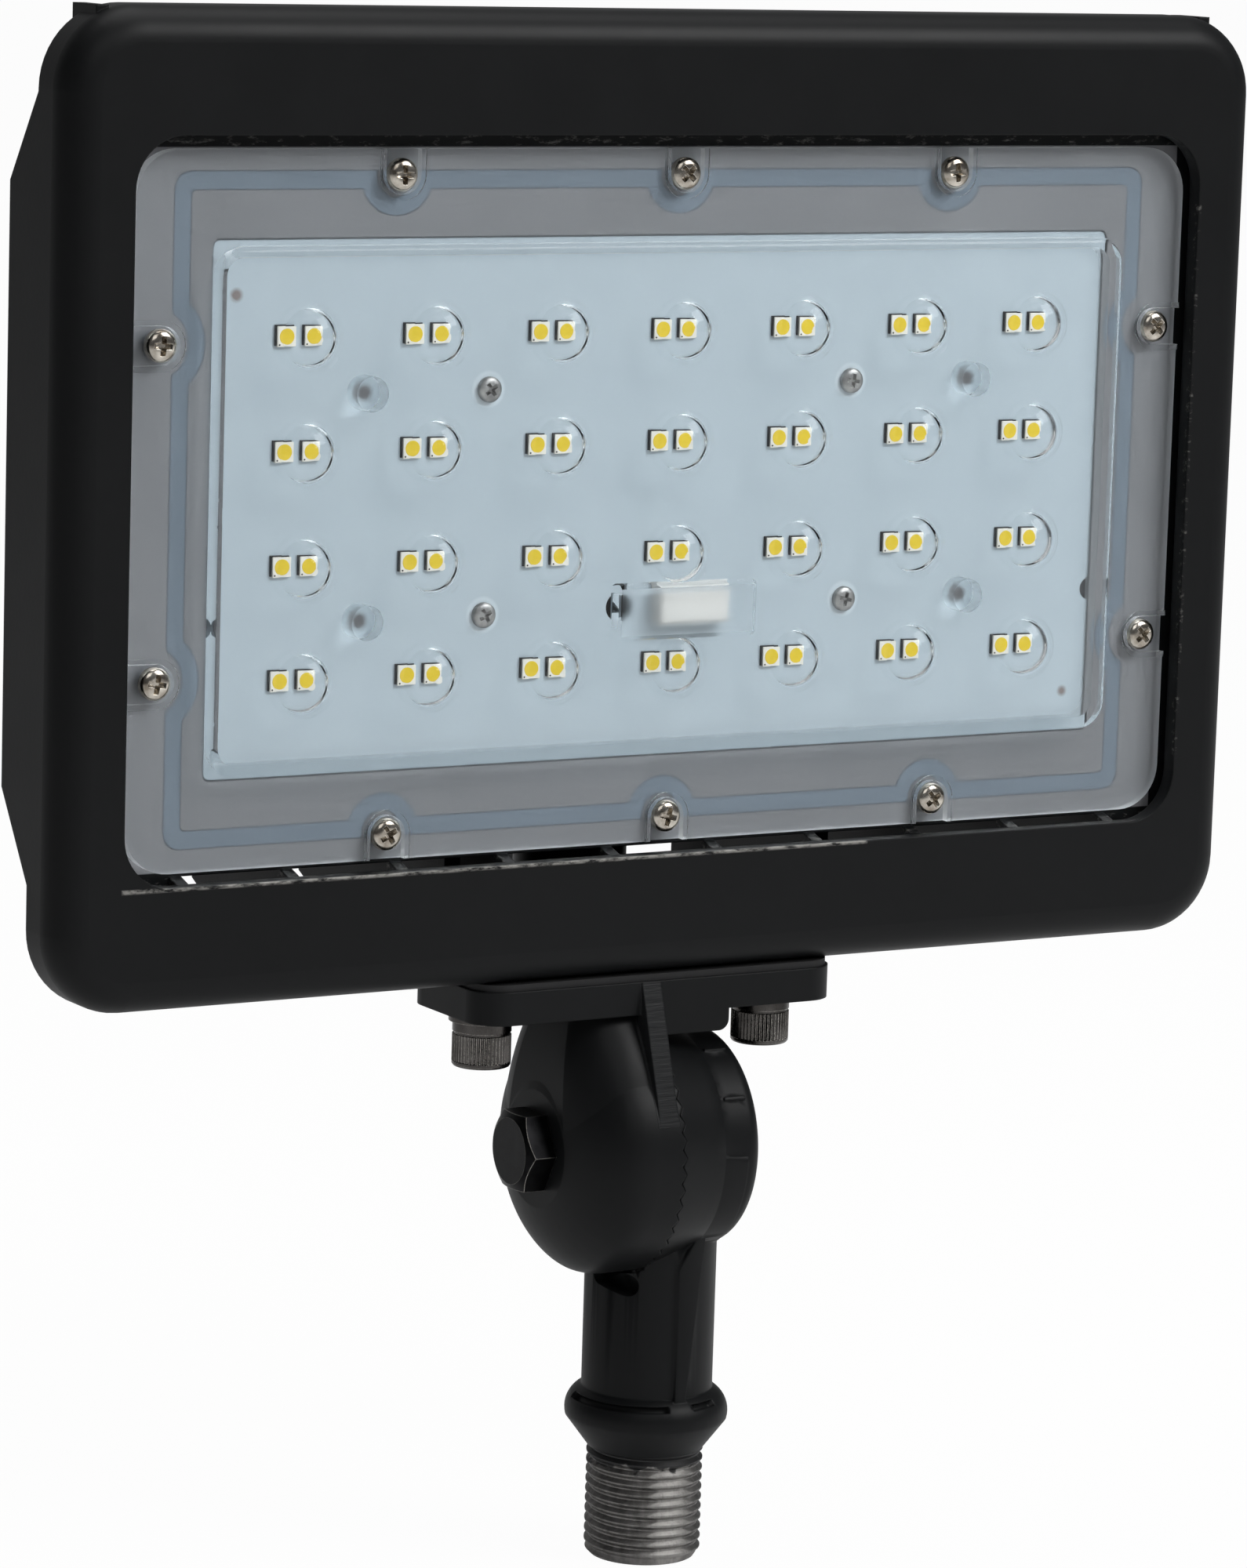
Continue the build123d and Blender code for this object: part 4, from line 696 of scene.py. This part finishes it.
def makeFlangeScrews(form):
    # socket head screws with a knurled rim, seen from below the flange
    places = nodePlaces("flange_screws")
    low, high = places[0]
    radius = (high.x - low.x) / 2
    headHeight = (high.z - low.z) - form["length"]

    def hexRadius(angle):
        return form["key"] / cos((angle % (pi / 3)) - pi / 6)

    def knurlRadius(angle):
        return radius - form["depth"] * (0.5 + 0.5 * cos(angle * form["teeth"]))

    rings = [
        (form["keyDepth"], hexRadius),
        (0.35 * mm, hexRadius),
        (0.0, lambda angle: hexRadius(angle) + 0.3 * mm),
        (0.0, radius - form["rim"]),
        (0.12 * mm, radius - 0.25 * mm),
        (0.45 * mm, radius - 0.02 * mm),
        (form["plain"], radius - 0.02 * mm),
        (form["plain"] + 0.12 * mm, knurlRadius),
        (headHeight - form["plain"] * 0.6, knurlRadius),
        (headHeight - form["plain"] * 0.5, radius - form["depth"]),
        (headHeight, radius - form["depth"]),
        (headHeight, form["shank"]),
        (headHeight + form["length"], form["shank"]),
    ]
    bm = bmesh.new()
    turned(bm, rings, form["teeth"] * form["segmentsPerTooth"])
    mesh = toMesh("screw", bm)
    bm = bmesh.new()
    copiesAt(bm, mesh, [Matrix.Translation(((a.x + b.x) / 2, (a.y + b.y) / 2, a.z)) for a, b in places])
    finishPiece("flange_screws_knurled", bm, [blackOxide], "head", ["flange_screws"], 22)


thread = {
    "pitch": 1.814 * mm,
    "crest": 10.45 * mm,
    "root": 9.80 * mm,
    "bore": 9.3 * mm,
    "top": 0.6 * mm,
    "chamfer": 1.0 * mm,
    "flat": 0.16,
    "stepsPerTurn": 72,
}


def makeThread(form):
    # a helical thread: one pitch of its profile turned down the stem, and drawn in at its lower end
    bm = bmesh.new()
    pitch = form["pitch"]
    turns = int((form["top"] - stemFoot) / pitch) + 2
    profile = (
        (form["root"], 0),
        (form["root"], form["flat"]),
        (form["crest"], 0.5),
        (form["crest"], 0.5 + form["flat"]),
        (form["root"], 1.0),
    )
    line = [bm.verts.new((reach, 0, form["top"] + pitch - share * pitch)) for reach, share in profile]
    edges = [bm.edges.new(pair) for pair in zip(line, line[1:])]
    bmesh.ops.spin(bm, geom=line + edges, cent=(0, 0, 0), axis=(0, 0, 1),
                   dvec=(0, 0, -pitch / form["stepsPerTurn"]), angle=turns * 2 * pi,
                   steps=turns * form["stepsPerTurn"], use_merge=False)
    bmesh.ops.remove_doubles(bm, verts=bm.verts, dist=touch)
    for height, side in ((form["top"], 1), (stemFoot, -1)):
        geometry = bm.verts[:] + bm.edges[:] + bm.faces[:]
        bmesh.ops.bisect_plane(bm, geom=geometry, plane_co=(0, 0, height), plane_no=(0, 0, side),
                               clear_outer=True)
    for vertex in bm.verts:
        reach = vertex.co.xy.length
        most = form["crest"] - form["chamfer"] + (vertex.co.z - stemFoot)
        if reach > most:
            vertex.co.xy *= most / reach
    bmesh.ops.recalc_face_normals(bm, faces=bm.faces)
    finishPiece("stem_thread", bm, [threadMetal], "stem", [], 40)


def makeLowerArm(form):
    # the lower arm without its plain threaded end, whose bore and end face stay as bare metal
    bm = copyNode("lower_arm")
    plain = []
    for face in bm.faces:
        nearest = min(v.co.xy.length for v in face.verts)
        if max(v.co.z for v in face.verts) < touch and nearest > form["bore"]:
            plain.append(face)
    bmesh.ops.delete(bm, geom=plain, context="FACES")
    for face in bm.faces:
        if max(v.co.z for v in face.verts) < -form["chamfer"]:
            face.material_index = 1
    finishPiece("lower_arm_cast", bm, [armCoat, threadMetal], "stem", ["lower_arm"], 28)


lensForm = {
    "domeRadius": 5.8 * mm,
    "domeRise": 3.0 * mm,
    "skin": 2.0 * mm,
    "hollowRadius": 4.65 * mm,
    "hollowRise": 3.7 * mm,
    "hollowRings": 9,
    "film": 0.06 * mm,
    "plateauHalf": (90.1 * mm, 44.4 * mm),
    "plateauDepth": 2.8 * mm,
    "postX": 60.4 * mm,
    "postZ": 19.3 * mm,
    "postReach": 3.1 * mm,
    "coverSpan": (-22.6 * mm, -15.4 * mm),
    "coverHalf": 13.0 * mm,
    "coverProud": 1.2 * mm,
}


def makeLens(form):
    # the moulded lens, with each dome hollowed to a thin shell, a film of air clear of its seat
    bm = copyNode("optic_lens")
    plateauFront = lensLow.y + form["domeRise"]
    ceiling = plateauFront + form["skin"]
    ballRadius = (form["domeRadius"] ** 2 + form["domeRise"] ** 2) / (2 * form["domeRise"])
    hollowBall = (form["hollowRadius"] ** 2 + form["hollowRise"] ** 2) / (2 * form["hollowRise"])
    for column in range(package["columns"]):
        for row in range(package["rows"]):
            x = headX + (column - (package["columns"] - 1) / 2) * columnPitch
            z = headZ + (row - (package["rows"] - 1) / 2) * rowPitch
            ball = Vector((x, plateauFront - form["domeRise"] + ballRadius, z))
            hollow = []
            for face in bm.faces:
                centre = face.calc_center_median()
                inside = Vector((centre.x - x, centre.z - z)).length < form["hollowRadius"]
                deep = centre.y < ceiling - touch and (centre - ball).length < ballRadius - 0.2 * mm
                if inside and deep:
                    hollow.append(face)
            bmesh.ops.delete(bm, geom=hollow, context="FACES")
            rim = [e for e in bm.edges if e.is_boundary]
            for ring in range(1, form["hollowRings"] + 1):
                grown = bmesh.ops.extrude_edge_only(bm, edges=rim)
                rim = [e for e in grown["geom"] if isinstance(e, bmesh.types.BMEdge) and e.is_boundary]
                reach = form["hollowRadius"] * cos(ring / (form["hollowRings"] + 1) * pi / 2)
                depth = (hollowBall ** 2 - reach ** 2) ** 0.5 - (hollowBall - form["hollowRise"])
                for vertex in {v for e in rim for v in e.verts}:
                    away = Vector((vertex.co.x - x, vertex.co.z - z)).normalized() * reach
                    vertex.co = (x + away.x, ceiling - depth, z + away.y)
            bmesh.ops.holes_fill(bm, edges=rim, sides=0)
    for vertex in bm.verts:
        if vertex.co.y > boardFront - touch or abs(vertex.co.y - plateFront) < touch:
            vertex.co.y -= form["film"]
    bmesh.ops.recalc_face_normals(bm, faces=bm.faces)
    # the plateau is clear, the posts and the cover of the connector are hazy, and the flange is frosted
    wide, high = form["plateauHalf"]
    coverLow, coverHigh = form["coverSpan"]
    for face in bm.faces:
        centre = face.calc_center_median()
        x = abs(centre.x - headX)
        z = centre.z - headZ
        nearPost = Vector((x - form["postX"], abs(z) - form["postZ"])).length < form["postReach"]
        nearCover = x < form["coverHalf"] and coverLow < z < coverHigh
        onPlateau = (x < wide and abs(z) < high) or centre.y < plateauFront + form["plateauDepth"]
        face.material_index = 0 if onPlateau else 1
        onPost = nearPost and centre.y > ceiling - touch
        onCover = nearCover and centre.y < plateauFront - form["coverProud"]
        if onPost or onCover:
            face.material_index = 2
    finishPiece("optic_lens_moulded", bm, [lensClear, lensFrosted, lensHazy], "head", ["optic_lens"],
                28, lambda face: abs(face.normal.y) > 0.9999)


print("pieces")
makeLowerArm(thread)
makeThread(thread)
makeLens(lensForm)
makePackages(package)
makeFlangeScrews(knurl)
for nodeName, (outward, headHeight, shank, finish) in crossScrews.items():
    makeScrews(nodeName, outward, headHeight, shank, finish)

# Studio: each lamp has its power, its place and its size; seen, mirrored and through are the shares of white
# that the backdrop adds for the camera, for reflections and through the lens

studio = {
    "floorColour": "#F2F2F2",
    "worldStrength": 0.13,
    "worldColour": "#EEF0F3",
    "seen": 0.97,
    "mirrored": 0.20,
    "through": 0.85,
    "lamps": {
        "key": (9.5, (0.6, -0.8, 0.95), 0.6),
        "fill": (3.4, (-0.5, -1.4, 1.3), 0.9),
        "top": (7.0, (0.15, 0.1, 1.4), 1.0),
    },
    "aim": (0, 0, 0.15),
    "half": 6,
    "front": -4,
    "back": 5,
    "curve": 1.5,
    "wall": 6,
}


def makeBackdrop(form):
    # a pale sweep: floor, curve and wall in one sheet, extruded along X from an edge
    floorZ = cadBox[0][2] - 0.2 * mm
    bm = bmesh.new()
    left = -form["half"]
    ends = [bm.verts.new((left, y, floorZ)) for y in (form["front"], form["back"])]
    bm.edges.new(ends)
    spun = bmesh.ops.spin(bm, geom=[ends[1]], cent=(left, form["back"], floorZ + form["curve"]),
                          axis=(1, 0, 0), angle=pi / 2, steps=16)
    top = [v for v in spun["geom_last"] if isinstance(v, bmesh.types.BMVert)][0]
    crown = bm.verts.new((top.co.x, top.co.y, form["wall"]))
    bm.edges.new((top, crown))
    swept = bmesh.ops.extrude_edge_only(bm, edges=bm.edges[:])
    moved = [v for v in swept["geom"] if isinstance(v, bmesh.types.BMVert)]
    bmesh.ops.translate(bm, vec=(2 * form["half"], 0, 0), verts=moved)
    bmesh.ops.recalc_face_normals(bm, faces=bm.faces)
    mesh = toMesh("backdrop", bm)
    mesh.shade_smooth()
    sheet = bpy.data.objects.new("backdrop", mesh)
    scene.collection.objects.link(sheet)
    material, tree, place = newMaterial("studio_paper")
    paper = addNode(tree, "BsdfDiffuse", {"Color": hexColour(form["floorColour"])})
    glow = addNode(tree, "Emission", {"Color": (1, 1, 1, 1), "Strength": 1.0})
    path = addNode(tree, "LightPath", {}).node.outputs
    share = 0.0
    for ray, amount in (("Camera", "seen"), ("Glossy", "mirrored"), ("Transmission", "through")):
        part = addNode(tree, "Math", {"operation": "MULTIPLY", 0: path["Is " + ray + " Ray"], 1: form[amount]})
        share = addNode(tree, "Math", {"operation": "MAXIMUM", 0: share, 1: part})
    surface = addNode(tree, "MixShader", {0: share, 1: paper, 2: glow})
    addNode(tree, "OutputMaterial", {"Surface": surface})
    mesh.materials.append(material)


def makeLight(name, power, place, size):
    lamp = bpy.data.lights.new(name, "AREA")
    lamp.shape = "SQUARE"
    lamp.size = size
    lamp.energy = power
    light = bpy.data.objects.new(name, lamp)
    light.location = place
    light.rotation_euler = (Vector(studio["aim"]) - Vector(place)).to_track_quat("-Z", "Y").to_euler()
    scene.collection.objects.link(light)


def makeWorld(form):
    # past the sheet's edge the camera sees white, while the light from there stays dim
    world = bpy.data.worlds.new("studio_world")
    scene.world = world
    world.use_nodes = True
    sky = world.node_tree
    sky.nodes.clear()
    dim = addNode(sky, "Background", {"Color": hexColour(form["worldColour"]),
                                      "Strength": form["worldStrength"]})
    white = addNode(sky, "Background", {"Color": (1, 1, 1, 1), "Strength": 1.0})
    seen = addNode(sky, "LightPath", {}, "Is Camera Ray")
    surface = addNode(sky, "MixShader", {0: seen, 1: dim, 2: white})
    addNode(sky, "OutputWorld", {"Surface": surface})


print("studio")
makeBackdrop(studio)
for lampName, (power, place, size) in studio["lamps"].items():
    makeLight(lampName, power, place, size)
makeWorld(studio)

# Camera, as solved from the grid of LEDs: the picture is 1590 by 2000
view = {"place": (-0.5428, -0.9050, 0.28967), "turn": (80.844, -1.751, -30.268), "lens": 174.9}
camera = bpy.data.cameras.new("camera")
camera.sensor_fit = "HORIZONTAL"
camera.sensor_width = 36
camera.lens = view["lens"]
camera.clip_end = 50
cameraObject = bpy.data.objects.new("camera", camera)
cameraObject.location = view["place"]
cameraObject.rotation_euler = [radians(a) for a in view["turn"]]
scene.collection.objects.link(cameraObject)
scene.camera = cameraObject
scene.view_settings.view_transform = "Standard"
